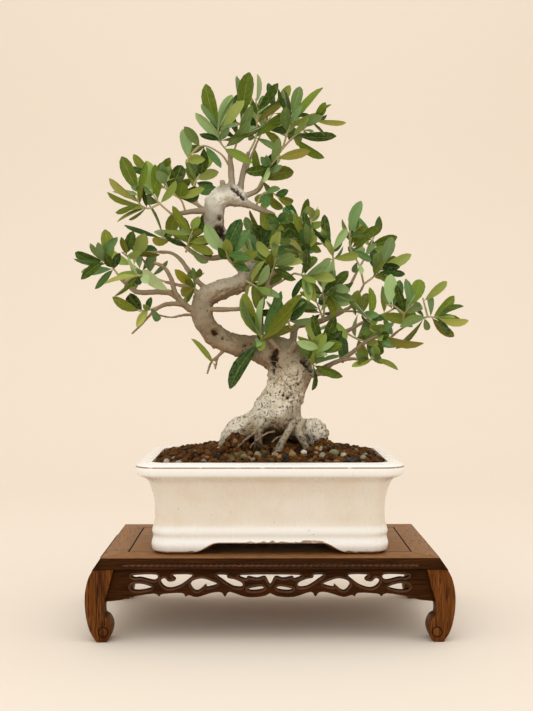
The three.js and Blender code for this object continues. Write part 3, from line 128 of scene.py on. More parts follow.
# Shoots: each one's spray, its twig's drawn path, its depth at both ends, a letter for each leaf's colour,
# and the drawn tip and width of each leaf. A shoot with a number in place of tips bears that many by rule.
SHOOTS = (
    ("top_left", ((-48, 562), (-53, 570), (-61.5, 582), (-62.5, 601.5)), (-7, -24), "DSTOSM", (
        (-23.5, 604, 12), (-88.5, 615, 11), (-69, 606.5, 9), (-29.5, 628.5, 12), (-45.5, 636, 12),
        (-77.5, 649, 16))),
    ("top_centre", ((-47, 556), (-38, 584.5), (-33.5, 610)), (-4, -16), "DDSM", (
        (-52, 616, 9), (-21, 623.5, 11), (-40.5, 659, 6), (-24.5, 664, 18))),
    ("top_mid", ((-25.5, 565), (-16.5, 584.5), (-15, 609), (-16.5, 632)), (10, 26), "MTOBSDP", (
        (21.5, 612.5, 12), (-21, 599, 10), (-14, 620, 11), (16.5, 626, 9), (-4, 634.5, 10),
        (10.5, 650.5, 11), (-15, 661.5, 6))),
    ("top_right", ((16.5, 572), (22.5, 593), (29, 614)), (20, 6), "ODOMD", (
        (36, 588, 9), (20.5, 621, 12), (62, 612.5, 10), (63, 648, 10), (37.5, 648, 13))),
    ("right_crown", ((10, 564), (27.5, 583.5), (42, 595.5), (58, 610)), (16, -14), "DDBDYM", (
        (42, 586, 11), (81.5, 587, 11), (53, 581, 7), (63, 610, 10), (93.5, 603, 6), (67, 625, 10))),
    ("under_crown", ((-14, 521), (-9, 532), (0, 548), (11.5, 562.5)), (2, -34), "OMSSDDB", (
        (30, 543, 16), (-17.5, 568.5, 9), (14, 563.5, 11), (16.5, 550, 7), (-28.5, 543, 12),
        (12, 583, 10), (48.5, 568.5, 11))),
    ("knuckle_right", ((-16, 502), (-9, 515), (1, 518.5), (12, 511)), (-5, -30), "OTO", (
        (15.5, 498, 10), (-4, 500, 12), (30, 505, 10))),
    ("upper_left", ((-48, 548), (-58, 563.5), (-76, 574), (-86, 573.5)), (0, -24), "DD", (
        (-84.5, 539.5, 12), (-104, 598, 11))),
    ("upper_left", ((-86, 573.5), (-97, 562.5), (-100.5, 554)), (-24, -34), "SO", (
        (-105.5, 595.5, 13), (-78.5, 557.5, 11))),
    ("left_crown", ((-119, 491), (-134.5, 505), (-144.5, 520)), (-18, -34), "DMM", (
        (-154.5, 512.5, 11), (-139.5, 551.5, 12), (-149.5, 556.5, 15))),
    ("left_crown", ((-133.5, 504), (-148, 498), (-159, 505), (-160.5, 520)), (-25, -50), "YOBBPM", (
        (-186, 498, 6), (-197, 518.5, 5), (-187.5, 521, 7), (-197, 532, 8), (-169, 515, 7),
        (-180, 561.5, 15))),
    ("left_fan", ((-102, 493.5), (-108, 509), (-121.5, 518.5), (-128.5, 535.5)), (-10, -28), "NOTDOT", (
        (-87, 520, 17), (-78.5, 522, 9), (-97, 532, 7), (-105.5, 552.5, 16), (-120, 548, 15),
        (-131, 552.5, 10))),
    ("trunk_left", ((-84, 440), (-99, 447), (-98, 460), (-93, 472)), (22, -30), "OOOM", (
        (-69, 443, 11), (-65, 460, 9), (-117.5, 501.5, 10), (-87, 485.5, 10))),
    ("left_inner", ((-110, 459.5), (-120, 460), (-133.5, 462.5)), (34, 20), "YOTT", (
        (-142, 460, 11), (-111.5, 494, 16), (-115, 493, 7), (-177.5, 476, 6))),
    ("far_left", ((-183, 415), (-192, 427), (-204.5, 435.5)), (-5, -18), "TDOTDT", (
        (-231, 423.5, 10), (-199.5, 443, 10), (-200.5, 473.5, 15), (-238.5, 436.5, 6), (-237.5, 444, 12),
        (-185, 463.5, 11))),
    ("left_cluster", ((-134, 445), (-153, 444), (-167.5, 437), (-180, 445)), (30, 8), "BODD", (
        (-133.5, 443, 7), (-152, 468.5, 17), (-163, 462.5, 11), (-165.5, 471, 12))),
    ("left_tuft", ((-176, 408), (-165.5, 415), (-153, 417)), (-6, -30), "YS", (
        (-202, 411, 6), (-148, 408.5, 11))),
    ("left_pale", ((-118, 393.5), (-122.5, 399)), (-14, -32), "P", (
        (-154.5, 423.5, 13),)),
    ("inner_left", ((-80, 386.5), (-89.5, 396.5), (-91, 408.5), (-80, 419.5)), (-2, -30), "YYD", (
        (-110.5, 394, 11), (-115, 423.5, 11), (-100.5, 417, 10))),
    ("left_low", ((-132, 379.5), (-146, 375), (-159, 373)), (-23, -50), "TYNO", (
        (-144.5, 388, 7), (-160.5, 356, 9), (-172.5, 393, 14), (-191, 390, 11))),
    ("trunk_front", ((-33, 426), (-48, 433), (-53, 445.5)), (2, -36), "TOOTT", (
        (-25, 423.5, 11), (-16.5, 444, 12), (-53, 461, 12), (-23.5, 472, 10), (-34.5, 485.5, 16))),
    ("rosette", ((-12, 330), (-9, 343)), (-22, -46), "GBOMOOT", (
        (-48, 278, 16), (30, 358.5, 9), (30, 379.5, 13), (-11.5, 327, 14), (-32, 395, 17),
        (36, 397.5, 12), (14, 397.5, 11))),
    ("centre_right", ((6, 491), (12, 477), (3, 457.5)), (-14, -44), "DOTOD", (
        (26.5, 487, 12), (-9, 479.5, 12), (2, 487, 11), (20.5, 469.5, 12), (29, 457.5, 9))),
    ("middle_fan", ((17, 425.5), (36, 437), (44.5, 447.5), (47, 460)), (-30, -8), "OOBDMDOD", (
        (26.5, 444, 14), (48.5, 439, 13), (24, 462.5, 6), (48.5, 454, 10), (57, 474.5, 7), (44.5, 477, 9),
        (32.5, 495.5, 10), (10.5, 482, 11))),
    ("middle_fan", ((47, 460), (49.5, 476), (52, 487)), (-8, 12), "TO", (
        (60.5, 495.5, 9), (46, 501.5, 9))),
    ("right_fan", ((79, 421), (77.5, 440.5), (74, 456.5)), (-13, -34), "OOSTD", (
        (109.5, 440.5, 10), (69, 460, 7), (95, 473.5, 9), (71.5, 466, 7), (67, 490.5, 10))),
    ("right_spur", ((66, 361), (67, 383), (64.5, 396.5)), (9, -26), "OTOS", (
        (98.5, 405, 14), (37.5, 411, 6), (44.5, 411, 7), (77.5, 434.5, 11))),
    ("right_plume", ((115.5, 405), (109.5, 429.5), (98.5, 450), (98.5, 472)), (24, 4), "DSMODT", (
        (103.5, 419.5, 7), (114.5, 452.5, 12), (137.5, 476, 12), (118, 477, 7), (103.5, 488, 13),
        (112, 507.5, 13))),
    ("right_wing", ((116.5, 407), (129, 417), (137.5, 433)), (25, 40), "BDOOS", (
        (153.5, 421, 7), (135, 443, 11), (153.5, 439, 11), (173, 443, 12), (150, 463.5, 14))),
    ("right_shoulder", ((164.5, 353), (164.5, 369.5), (175.5, 382)), (0, -20), "DDM", (
        (190, 380.5, 12), (153.5, 401.5, 9), (185, 412.5, 16))),
    ("right_shoulder", ((164.5, 369.5), (152, 379.5), (142.5, 380.5)), (-10, -28), "S", (
        (148.5, 419.5, 15),)),
    ("far_right", ((177, 361), (193.5, 366), (208.5, 364.5)), (4, -16), "ODBMY", (
        (137.5, 368.5, 13), (162, 355, 11), (226.5, 341.5, 11), (225.5, 391.5, 12), (243, 362, 9))),
    ("far_right", ((193.5, 366), (190, 379.5), (187.5, 389)), (-6, 4), "O", (
        (219.5, 408.5, 10),)),
    ("right_low", ((116, 312), (124, 314), (130, 317.5)), (-36, -44), "DOOMD", (
        (107, 320.5, 11), (157, 305, 6), (101, 305, 7), (130, 331.5, 10), (135, 329.5, 10))),
    ("right_middle", ((140, 336), (132.5, 344), (123, 351)), (-8, -30), "DTBD", (
        (143.5, 344, 10), (148.5, 331.5, 8), (186.5, 325.5, 9), (112, 349, 10))),
    ("right_inner", ((90, 373), (108, 372), (125, 362)), (16, -26), "ODOTM", (
        (108.5, 399, 13), (103.5, 372, 8), (119, 394, 11), (139, 363.5, 9), (124, 402.5, 9))),
    ("right_hanging", ((77, 366.5), (81.5, 360)), (12, -18), "SG", (
        (84, 327, 10), (90, 309.5, 12))),
    ("right_base", ((55, 297.5), (52, 317)), (-11, -32), "MDDM", (
        (88.5, 292.5, 10), (68, 318, 7), (53.5, 344, 7), (68, 346.5, 15))),
    ("rear_left", ((-125, 408), (-150, 418), (-170, 432)), (79, 96), "", 5),
    ("rear_centre", ((14.5, 446.5), (30, 462), (38, 480)), (84, 98), "", 6),
    ("rear_centre_low", ((-9, 433), (-14, 455), (-10, 475)), (46, 78), "", 5),
    ("rear_upper_left", ((-110, 513), (-130, 525), (-142, 540)), (69, 92), "", 5),
    ("rear_upper", ((-87, 502.5), (-92, 525), (-82, 545)), (37, 70), "", 5),
    ("rear_top", ((-17, 574), (-5, 600), (8, 618)), (59, 76), "", 6),
    ("rear_right", ((121, 363.5), (145, 372), (165, 385)), (79, 96), "", 5),
    ("rear_right_low", ((92, 347.5), (110, 338), (130, 335)), (55, 86), "", 5),
    ("rear_right_top", ((107, 421), (120, 445), (128, 465)), (74, 92), "", 6),
)
SPRAYS = {}
for spray, *shoot in SHOOTS:
    SPRAYS.setdefault(spray, []).append(shoot)
# Hollows and scars pressed into the front of the wood: drawn x and z, radius of the hollow, how deep it is.
HOLLOWS = (
    (7, 322, 4.4, 5), (5, 314, 5.4, 6), (4, 305, 4.8, 5.5), (3.5, 298, 3.4, 3.5), (45, 309, 5.2, 5),
    (49, 303, 4.6, 4), (40, 311, 3, 3), (12, 274, 1.9, 1.6), (17, 270, 2.2, 2), (22, 266, 2.2, 2),
    (27, 261, 1.9, 1.6), (-3.5, 262, 4.4, 0.9), (36, 283, 2.6, 1.6), (-67, 347, 4, 4), (-57, 340, 2, 1.8),
    (-61, 470, 7, 3), (-56, 463, 5.6, 3), (-63, 462, 4.6, 2.4), (-55, 473, 3.8, 2), (-60, 486, 3.4, 1.8),
    (-43, 524, 4.4, 4.6), (-38.5, 520, 4.8, 5), (-34.5, 515, 4.6, 4.6), (-32, 510, 3.4, 3),
    (-58, 362, 3, 1.8), (-30, 331, 2.4, 1.8), (52, 233, 3.8, 1), (-36, 226, 3.4, 1.2), (-50, 214, 3.4, 1.2),
)

# The letters that stand for the leaves' colours.
LEAF_COLOURS = {
    "M": "#64771d", "D": "#33490b", "T": "#2b5727", "S": "#839b68", "P": "#aeb987", "O": "#6c711a",
    "B": "#766b1e", "Y": "#8a8326", "N": "#192804", "G": "#183a1a",
}

# ---------------------------------------------------------------- colours and nodes

# Each kind of node: its type, its fixed settings, its inputs in the order they are given, and its output.
NODES = {
    "coordinates": ("TexCoord", {}, (), "Object"),
    "mapping": ("Mapping", {}, ("Vector", "Scale"), "Vector"),
    "facing": ("NewGeometry", {}, (), "Normal"),
    "separate": ("SeparateXYZ", {}, ("Vector",), "Z"),
    "red": ("SeparateColor", {}, ("Color",), 0),
    "attribute": ("Attribute", {}, (), "Fac"),
    "noise": ("TexNoise", {}, ("Vector", "Scale", "Detail", "Roughness", "Distortion"), "Fac"),
    "spots": ("TexVoronoi", {"feature": "F1"}, ("Vector", "Scale"), "Distance"),
    "curve": ("FloatCurve", {}, ("Value",), 0),
    "range": ("MapRange", {}, range(5), 0),
    "soft_range": ("MapRange", {"interpolation_type": "SMOOTHSTEP"}, range(5), 0),
    "mix": ("Mix", {"data_type": "RGBA", "clamp_factor": True}, (0, 6, 7), 2),
    "multiply": ("Math", {"operation": "MULTIPLY"}, (0, 1), 0),
    "subtract": ("Math", {"operation": "SUBTRACT"}, (0, 1), 0),
    "absolute": ("Math", {"operation": "ABSOLUTE"}, (0,), 0),
    "less": ("Math", {"operation": "LESS_THAN"}, (0, 1), 0),
    "bump": ("Bump", {}, ("Height", "Distance", "Strength"), 0),
}


def linear(code):
    """An sRGB hex colour as linear red, green, blue and alpha."""
    channels = [int(code[place:place + 2], 16) / 255 for place in (1, 3, 5)]
    return (*(c / 12.92 if c <= 0.04045 else ((c + 0.055) / 1.055) ** 2.4 for c in channels), 1.0)


def fill_inputs(tree, node, inputs):
    """Sets a node's inputs, by name or place: each to a value, or linked from an output socket."""
    for place, value in inputs.items():
        if isinstance(value, bpy.types.NodeSocket):
            tree.links.new(value, node.inputs[place])
        else:
            node.inputs[place].default_value = value


def add_node(tree, kind, *values, output=None, **settings):
    """Adds a node of a kind that NODES lists, and gives the output socket that the kind or the call names."""
    code, fixed, places, main = NODES[kind]
    node = tree.nodes.new(f"ShaderNode{code}")
    for key, value in {**fixed, **settings}.items():
        setattr(node, key, value)
    fill_inputs(tree, node, dict(zip(places, values)))
    return node.outputs[output or main]


def start_material(name):
    """A new material, and add_node for its tree."""
    material = bpy.data.materials.new(name)
    material.use_nodes = True
    return material, partial(add_node, material.node_tree)


def surfaced(material, inputs):
    """The material, once its surface shader has its inputs."""
    fill_inputs(material.node_tree, material.node_tree.nodes["Principled BSDF"], inputs)
    return material


def layered(add, colour, layers):
    """A colour with others laid over it in turn, each as far as its share goes."""
    for share, over in layers:
        colour = add("mix", share, colour, over)
    return colour


# ---------------------------------------------------------------- materials

# A noise's scale is given as 1000 over the size of its lumps in millimetres.

# Each finish: the tone that it leans to and how far, its roughness, and its coat.
WALNUT_FINISHES = {
    # Top-lit: a painted highlight, walnut painted paler on faces lit from above.
    "planed": ("walnut_top_lit", 0.55, 0.5, 0.1),
    "oiled": ("walnut_dark", 0.0, 0.46, 0.04),
    # Darkened: on the rails it is painted shade on faces that do not look up; the aprons take it all over.
    "rubbed": ("walnut_deep_and_shade", 0.8, 0.55, 0.0),
    "polished": ("walnut_deep_and_shade", 0.55, 0.34, 0.4),
    # Gap shade: painted shade, near black, in the gap round the panel and in the boss's turned groove.
    "filled": ("walnut_pores_and_gap_shade", 0.95, 0.6, 0.0),
}
# Painted shade up the wall: how far the glaze leans to its warm, darker tone, in the groove between the rolls
# and over the body under the lip. Share of the wall's height, and of the warm tone.
GLAZE_SHADE_CURVE = (
    (0.12, 0.0), (0.2, 0.3), (0.25, 0.15), (0.33, 0.9), (0.5, 0.86), (0.68, 0.92), (0.83, 0.85), (0.88, 0.12),
)
# Heights in metres: where the thin glaze of the pot's feet ends, and the wall from its foot to the rim.
GLAZE_FOOT = (0.0941, 0.0962)
WALL_SPAN = (0.094, 0.199)


def oiled_walnut(settings, along, finish="oiled"):
    """Walnut under dark oil: long streaks and short open pores. Top-lit faces are painted paler and dull, a
    painted highlight of the light from above; darkened faces lean to a deep tone, which on the rails is
    painted shade;
    carved edges are polished until they shine; and gap faces are painted near black, painted shade in gaps
    and grooves."""
    tone, share, roughness, coat = WALNUT_FINISHES[finish]
    material, add = start_material(f"{finish}_walnut_grain_{along}")
    drawn_out, pitted = (
        add("mapping", add("coordinates"), [length if axis == along else 1.0 for axis in "xyz"])
        for length in (0.06, 0.05)
    )
    figure = add("noise", drawn_out, 1000 / 16, 4, 0.6, 1.4)
    streaks = add("noise", drawn_out, 1000 / 2.6, 3, 0.6, 0.4)
    pores = add("noise", pitted, 1000 / 0.9, 2, 0.5)
    return surfaced(material, {
        "Base Color": layered(add, settings.walnut_dark, (
            (add("soft_range", figure, 0.3, 0.7), settings.walnut),
            (add("soft_range", streaks, 0.45, 0.75), settings.walnut_light),
            (share, getattr(settings, tone)),
            (add("soft_range", pores, 0.54, 0.66, 0.0, 0.8), settings.walnut_pores_and_gap_shade),
        )),
        "Roughness": add("soft_range", streaks, 0.2, 0.8, roughness - 0.08, roughness + 0.08),
        "Specular IOR Level": 0.04,
        "Coat Weight": coat,
        "Coat Roughness": 0.25,
        "Normal": add("bump", add("subtract", streaks, pores), 0.25 * MM, 0.8),
    })


def cream_glaze(settings):
    """Thick tin-white glaze on stoneware: painted shade lies warm and darker in the groove between the rolls
    and over the hollow of the wall under the lip; the glaze breaks brown on the rim, carries faint warm
    streaks and fine iron specks, and has a soft gloss."""
    material, add = start_material("cream_glaze_on_stoneware")
    points = add("coordinates")
    height = add("separate", points)
    clouds = add("noise", points, 1000 / 42, 4, 0.6, 0.6)
    streaked = add("noise", add("mapping", points, (1, 1, 0.22)), 1000 / 9, 3, 0.6)
    # Painted shade: the glaze is warmer and darker in the groove between the rolls and under the lip.
    shade_up_wall = add("curve", add("range", height, *WALL_SPAN))
    mapping = shade_up_wall.node.mapping
    mapping.curves[0].points[0].location = (0.0, 0.1)
    mapping.curves[0].points[1].location = (1.0, 0.0)
    for place in GLAZE_SHADE_CURVE:
        mapping.curves[0].points.new(*place)
    mapping.update()
    wall_shade = add("multiply", shade_up_wall, add("soft_range", clouds, 0.2, 0.8, 0.75, 1.15), use_clamp=True)
    thin = add("soft_range", add("attribute", attribute_name="break"), 0.2, 0.7)
    ragged = add("noise", points, 1000 / 9, 4, 0.7)
    edge = add("multiply", thin, add("soft_range", ragged, 0.3, 0.45, 0.5, 1.0))
    spots = add("spots", points, 1000 / 5.5)
    limit = add("range", add("red", spots.node.outputs["Color"]), 0.55, 1.0, 0.0, 0.11)
    grains = add("noise", points, 1000 / 1.4, 2, 0.7)
    return surfaced(material, {
        "Base Color": layered(add, settings.glaze, (
            (wall_shade, settings.glaze_warm_and_shade),
            (add("soft_range", streaked, 0.5, 0.9, 0.0, 0.15), settings.glaze_warm_and_shade),
            (edge, settings.glaze_break),
            (add("soft_range", height, *GLAZE_FOOT, 0.8, 0.0), settings.glaze_break),
            (add("less", spots, limit), settings.glaze_speck),
            (add("soft_range", grains, 0.6, 0.78, 0.0, 0.1), settings.glaze_warm_and_shade),
        )),
        "Roughness": add("soft_range", streaked, 0.2, 0.8, 0.2, 0.34),
        "Coat Weight": 0.25,
        "Coat Roughness": 0.12,
        "Normal": add("bump", add("noise", points, 1000 / 12, 3, 0.6), 0.35 * MM, 0.5),
    })


def bare_stoneware(settings):
    """Unglazed fired clay on the foot and under the pot: dull, sandy, toasted brown."""
    material, add = start_material("bare_fired_stoneware")
    grit = add("noise", add("coordinates"), 1000 / 1.2, 4, 0.7)
    return surfaced(material, {
        "Base Color": add("mix", add("soft_range", grit, 0.3, 0.7), settings.bare_clay, linear("#8d6a4a")),
        "Roughness": 0.9,
        "Normal": add("bump", grit, 0.2 * MM, 0.7),
    })


def moulded_mesh():
    """Moulded polyethylene mesh: black, slightly waxy."""
    material, add = start_material("moulded_polyethylene")
    grain = add("noise", add("coordinates"), 1000 / 0.8, 2, 0.55)
    return surfaced(material, {
        "Base Color": add("mix", grain, linear("#1d1d1c"), linear("#33332f")),
        "Roughness": 0.55,
        "Normal": add("bump", grain, 0.05 * MM, 1.0),
    })


def fired_granules():
    """Baked volcanic clay, sieved and damp: each granule has its own brown, a dusty skin and open pits."""
    material, add = start_material("fired_clay_granules")
    pits = add("noise", add("coordinates"), 1000 / 0.9, 4, 0.7)
    return surfaced(material, {
        "Base Color": layered(add, add("attribute", attribute_name="tint", output="Color"), (
            (add("soft_range", pits, 0.5, 0.85, 0.0, 0.2), linear("#a0794a")),
            (add("soft_range", pits, 0.2, 0.42, 0.6, 0.0), linear("#1a0f04")),
        )),
        "Roughness": 0.8,
        "Specular IOR Level": 0.07,
        "Normal": add("bump", pits, 0.35 * MM, 0.9),
    })


def olive_bark(settings):
    """Old olive bark: pale grey plates, bleached and pitted near the roots, dull brown where the trunk bends
    above the crotch, and almost smooth and silver at the top. Thin limbs are darker. Painted shade darkens
    the bark just below the top bend, on faces that look down and on faces that look to the right, and paints
    the hollows and the recess at the trunk's base near black; near the soil the bark is darker, partly soil
    stain and partly painted shade."""
    material, add = start_material("old_olive_bark")
    points = add("coordinates")
    height = add("separate", points)
    facing = add("facing")
    aside, up = (add("separate", facing, output=name) for name in "XZ")
    girth, hollow_shade = (add("attribute", attribute_name=name) for name in ("girth", "hollow"))
    plates = add("noise", points, 1000 / 11, 5, 0.62, 0.8)
    fine = add("noise", points, 1000 / 1.7, 4, 0.65, 0.3)
    patches = add("noise", points, 1000 / 38, 3, 0.6, 0.8)
    pocks = add("noise", points, 1000 / 3.2, 6, 0.74, 0.35)

    def by_height(low, high, to_low, to_high):
        return add("soft_range", height, low, high, to_low, to_high)

    def product(*shares):
        return reduce(lambda total, share: add("multiply", total, share), shares)

    young = by_height(0.27, 0.36, 0.0, 1.0)
    silver = by_height(0.38, 0.49, 0.15, 0.85)
    limit = add("range", young, 0.0, 1.0, 0.44, 0.375)
    pock = add("soft_range", add("subtract", limit, pocks), -0.015, 0.035)
    dull = product(young, add("soft_range", silver, 0.15, 0.85, 0.45, 0.0))
    bend = product(by_height(0.284, 0.324, 0.0, 0.88), by_height(0.376, 0.4, 1.0, 0.3),
                   by_height(0.42, 0.45, 1.0, 0.0), add("soft_range", patches, 0.3, 0.65, 1.0, 0.7))
    # Painted shade just below the top bend.
    shade_under_bend = product(by_height(0.45, 0.475, 0.0, 0.6), by_height(0.486, 0.514, 1.0, 0.0))
    # Darker towards the soil: partly soil stain, partly painted shade where the roots meet it.
    soil_stain_and_shade = product(by_height(0.208, 0.234, 0.85, 0.0), add("soft_range", pocks, 0.35, 0.6, 1.0, 0.5))
    return surfaced(material, {
        "Base Color": layered(add, settings.bark_grey, (
            (add("soft_range", plates, 0.35, 0.65), settings.bark_pale),
            (add("soft_range", fine, 0.3, 0.5, 0.5, 0.0), settings.bark_brown_and_shade),
            (silver, settings.bark_smooth),
            (dull, settings.bark_limb),
            (by_height(0.252, 0.285, 0.35, 0.0), settings.bark_smooth),
            (add("soft_range", fine, 0.56, 0.7, 0.0, 0.45), settings.bark_smooth),
            (add("soft_range", patches, 0.42, 0.66, 0.0, 0.3), settings.bark_limb),
            (bend, settings.bark_dull_and_shade),
            (shade_under_bend, settings.bark_dull_and_shade),
            (add("soft_range", girth, 0.3, 0.75, 0.85, 0.0), settings.bark_limb),
            (add("soft_range", girth, 0.12, 0.42, 0.4, 0.0), settings.bark_brown_and_shade),
            # Painted shade: bark that looks down is darker.
            (add("soft_range", up, -0.85, 0.0, 0.65, 0.0), settings.bark_brown_and_shade),
            # Painted shade: bark that looks to the right is darker.
            (add("soft_range", aside, 0.45, 0.95, 0.0, 0.4), settings.bark_brown_and_shade),
            (soil_stain_and_shade, settings.bark_pits_and_shade),
            (add("soft_range", pock, 0.0, 1.0, 0.0, 0.85), settings.bark_pits_and_shade),
            # Painted shade: the hollows and the recess at the trunk's base are near black.
            (add("soft_range", hollow_shade, 0.3, 0.8, 0.0, 0.9), settings.bark_pits_and_shade),
        )),
        "Roughness": 0.86,
        "Specular IOR Level": 0.14,
        "Normal": add("bump", add("subtract", fine, pock), 1.0 * MM, 0.9),
    })


def young_bark(settings):
    """Bark of this year's shoots: thin, grey-green, mottled paler."""
    material, add = start_material("young_olive_bark")
    mottle = add("noise", add("coordinates"), 1000 / 1.6, 3, 0.6)
    return surfaced(material, {
        "Base Color": add("mix", add("soft_range", mottle, 0.35, 0.65), settings.shoot, linear("#b3aa8c")),
        "Roughness": 0.7,
        "Normal": add("bump", mottle, 0.15 * MM, 0.6),
    })


def olive_leaf(under):
    """Olive leaf: leathery green above with a pale sunken midrib and a waxy sheen; silver scales below."""
    material, add = start_material("olive_leaf_underside" if under else "olive_leaf_upper")
    across = add("separate", add("coordinates", output="UV"), output="X")
    rib = add("soft_range", add("absolute", add("subtract", across, 0.5)), 0.008, 0.03, 0.3, 0.0)
    mottle = add("noise", add("coordinates"), 1000 / 3.5, 3, 0.6)
    return surfaced(material, {
        "Base Color": layered(add, add("attribute", attribute_name="tint", output="Color"), (
            (add("soft_range", mottle, 0.3, 0.75, 0.0, 0.25), linear("#b9c79c" if under else "#8d9c48")),
            (0.55 if under else 0.0, linear("#9db389")),
            (rib, linear("#b4bd78")),
        )),
        "Roughness": 0.62 if under else 0.42,
        "Specular IOR Level": 0.06 if under else 0.08,
        "Sheen Weight": 0.15 if under else 0.0,
        "Normal": add("bump", add("subtract", mottle, rib), 0.12 * MM, 0.5),
    })


def plain_paper(settings):
    """Matt seamless paper under and behind the object."""
    material, add = start_material("seamless_backdrop_paper")
    tooth = add("noise", add("coordinates"), 1000 / 1.5, 2, 0.55)
    return surfaced(material, {
        "Base Color": layered(add, settings.paper, (
            (add("soft_range", tooth, 0.4, 0.6, 0.0, 0.05), linear("#e9dfd5")),
        )),
        "Roughness": 0.95,
    })


# ---------------------------------------------------------------- making pieces


def flowing(points, steps, closed=False):
    """Points of a smooth curve through the given ones, which may be of two or three numbers."""
    points = [Vector(point) for point in points]
    count = len(points)
    path = []
    for span in range(count if closed else count - 1):
        b, c = points[span], points[(span + 1) % count]
        a = points[span - 1] if closed or span else 2 * b - c
        d = points[(span + 2) % count] if closed or span + 2 < count else 2 * c - b
        for step in range(steps):
            t = step / steps
            bend = (c - a) * t + (2 * a - 5 * b + 4 * c - d) * t * t + (3 * b - a - 3 * c + d) * t ** 3
            path.append(b + 0.5 * bend)
    if not closed:
        path.append(points[-1])
    return path


def kept(value, low=0.0, high=1.0):
    """A value kept between two limits."""
    return min(max(value, low), high)


def scaled(bm, factor):
    bmesh.ops.scale(bm, vec=Vector((factor, factor, factor)), verts=bm.verts)


def corners(faces):
    """The vertices of some faces."""
    return list({vert for face in faces for vert in face.verts})


def everything(bm):
    """All of a mesh, as some operators want it."""
    return [*bm.verts, *bm.edges, *bm.faces]


def take_in(bm, other):
    """Moves all of another bmesh into this one."""
    mesh = bpy.data.meshes.new("moved")
    other.to_mesh(mesh)
    other.free()
    bm.from_mesh(mesh)
    bpy.data.meshes.remove(mesh)


def finished(bm, name, materials, nodes, angle=35.0):
    """The mesh becomes a piece that stands for CAD nodes, which are hidden, and takes the given materials."""
    scaled(bm, MM)
    mesh = bpy.data.meshes.new(name)
    bm.to_mesh(mesh)
    bm.free()
    piece = bpy.data.objects.new(name, mesh)
    bpy.context.collection.objects.link(piece)
    for material in materials:
        mesh.materials.append(material)
    mesh.shade_smooth()
    mesh.set_sharp_from_angle(angle=math.radians(angle))
    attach(piece, "root")
    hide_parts(*nodes)
    return piece


def resolved(piece):
    """The piece's mesh with its modifiers applied, as a plain mesh."""
    seen = piece.evaluated_get(bpy.context.evaluated_depsgraph_get())
    mesh = bpy.data.meshes.new_from_object(seen)
    old = piece.data
    piece.modifiers.clear()
    piece.data = mesh
    bpy.data.meshes.remove(old)
    return mesh


def merged_copy(node):
    """A copy of a CAD node's mesh, in millimetres, with its doubles merged."""
    bm = bmesh.new()
    bm.from_mesh(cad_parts[node].data)
    scaled(bm, 1 / MM)
    bmesh.ops.remove_doubles(bm, verts=bm.verts, dist=0.01)
    return bm


def softened_copy(node, offset):
    """A copy of a CAD node whose sharp edges are rounded."""
    bm = merged_copy(node)
    bmesh.ops.dissolve_limit(bm, angle_limit=math.radians(1), verts=bm.verts, edges=bm.edges)
    sharp = [edge for edge in bm.edges if edge.is_manifold and edge.calc_face_angle(0.0) > math.radians(30)]
    bmesh.ops.bevel(bm, geom=sharp, offset=offset, offset_type="OFFSET", segments=3, profile=0.5,
                    affect="EDGES", clamp_overlap=True, material=-1)
    return bm


def board(outline, front, thickness, steps, holes=()):
    """A board drawn in x and z, with holes, from y = front. Its front and back edges round over in steps,
    each an inset and the rise that goes with it, and take the second finish."""
    bm = bmesh.new()
    edges = []
    for loop in (outline, *holes):
        line = [bm.verts.new((x, front, z)) for x, z in loop]
        edges += [bm.edges.new((line[i - 1], line[i])) for i in range(len(line))]
    bmesh.ops.triangle_fill(bm, use_beauty=True, use_dissolve=False, edges=edges,
                            normal=Vector((0, -1, 0)))
    face = bm.faces[:]
    grown = bmesh.ops.extrude_face_region(bm, geom=face)["geom"]
    back = [item for item in grown if isinstance(item, bmesh.types.BMFace)]
    bmesh.ops.translate(bm, vec=(0, thickness, 0), verts=corners(back))
    bmesh.ops.recalc_face_normals(bm, faces=bm.faces)
    total = sum(rise for _, rise in steps)
    for caps, way in ((face, 1), (back, -1)):
        bmesh.ops.translate(bm, vec=(0, way * total, 0), verts=corners(caps))
        for width, rise in steps:
            rim = bmesh.ops.inset_region(bm, faces=caps, thickness=width, use_even_offset=False,
                                         use_boundary=True)["faces"]
            for edge in rim:
                edge.material_index = 1
            bmesh.ops.translate(bm, vec=(0, -way * rise, 0), verts=corners(caps))
    return bm


def mirrored(bm, axis):
    """Turns a mesh into its mirror image across a plane through the origin."""
    scale = [1, 1, 1]
    scale[axis] = -1
    bmesh.ops.scale(bm, vec=Vector(scale), verts=bm.verts)
    bmesh.ops.reverse_faces(bm, faces=bm.faces)


# ---------------------------------------------------------------- the tree in depth


def at(x, z, y):
    """The point at depth y that is seen at x and z on the drawn elevation."""
    reach = (y - EYE.y) / -EYE.y
    return Vector((EYE.x + (x - EYE.x) * reach, y, EYE.z + (z - EYE.z) * reach))


def deep(path, depth):
    """Drawn points with the depth running evenly from the first to the last."""
    last = len(path) - 1
    return [at(x, z, depth[0] + (depth[1] - depth[0]) * place / last) for place, (x, z) in enumerate(path)]


def along(points, share):
    """The point at a share of a path's length, counted in its spans."""
    place = min(share * (len(points) - 1), len(points) - 1.001)
    index = int(place)
    return points[index].lerp(points[index + 1], place - index)


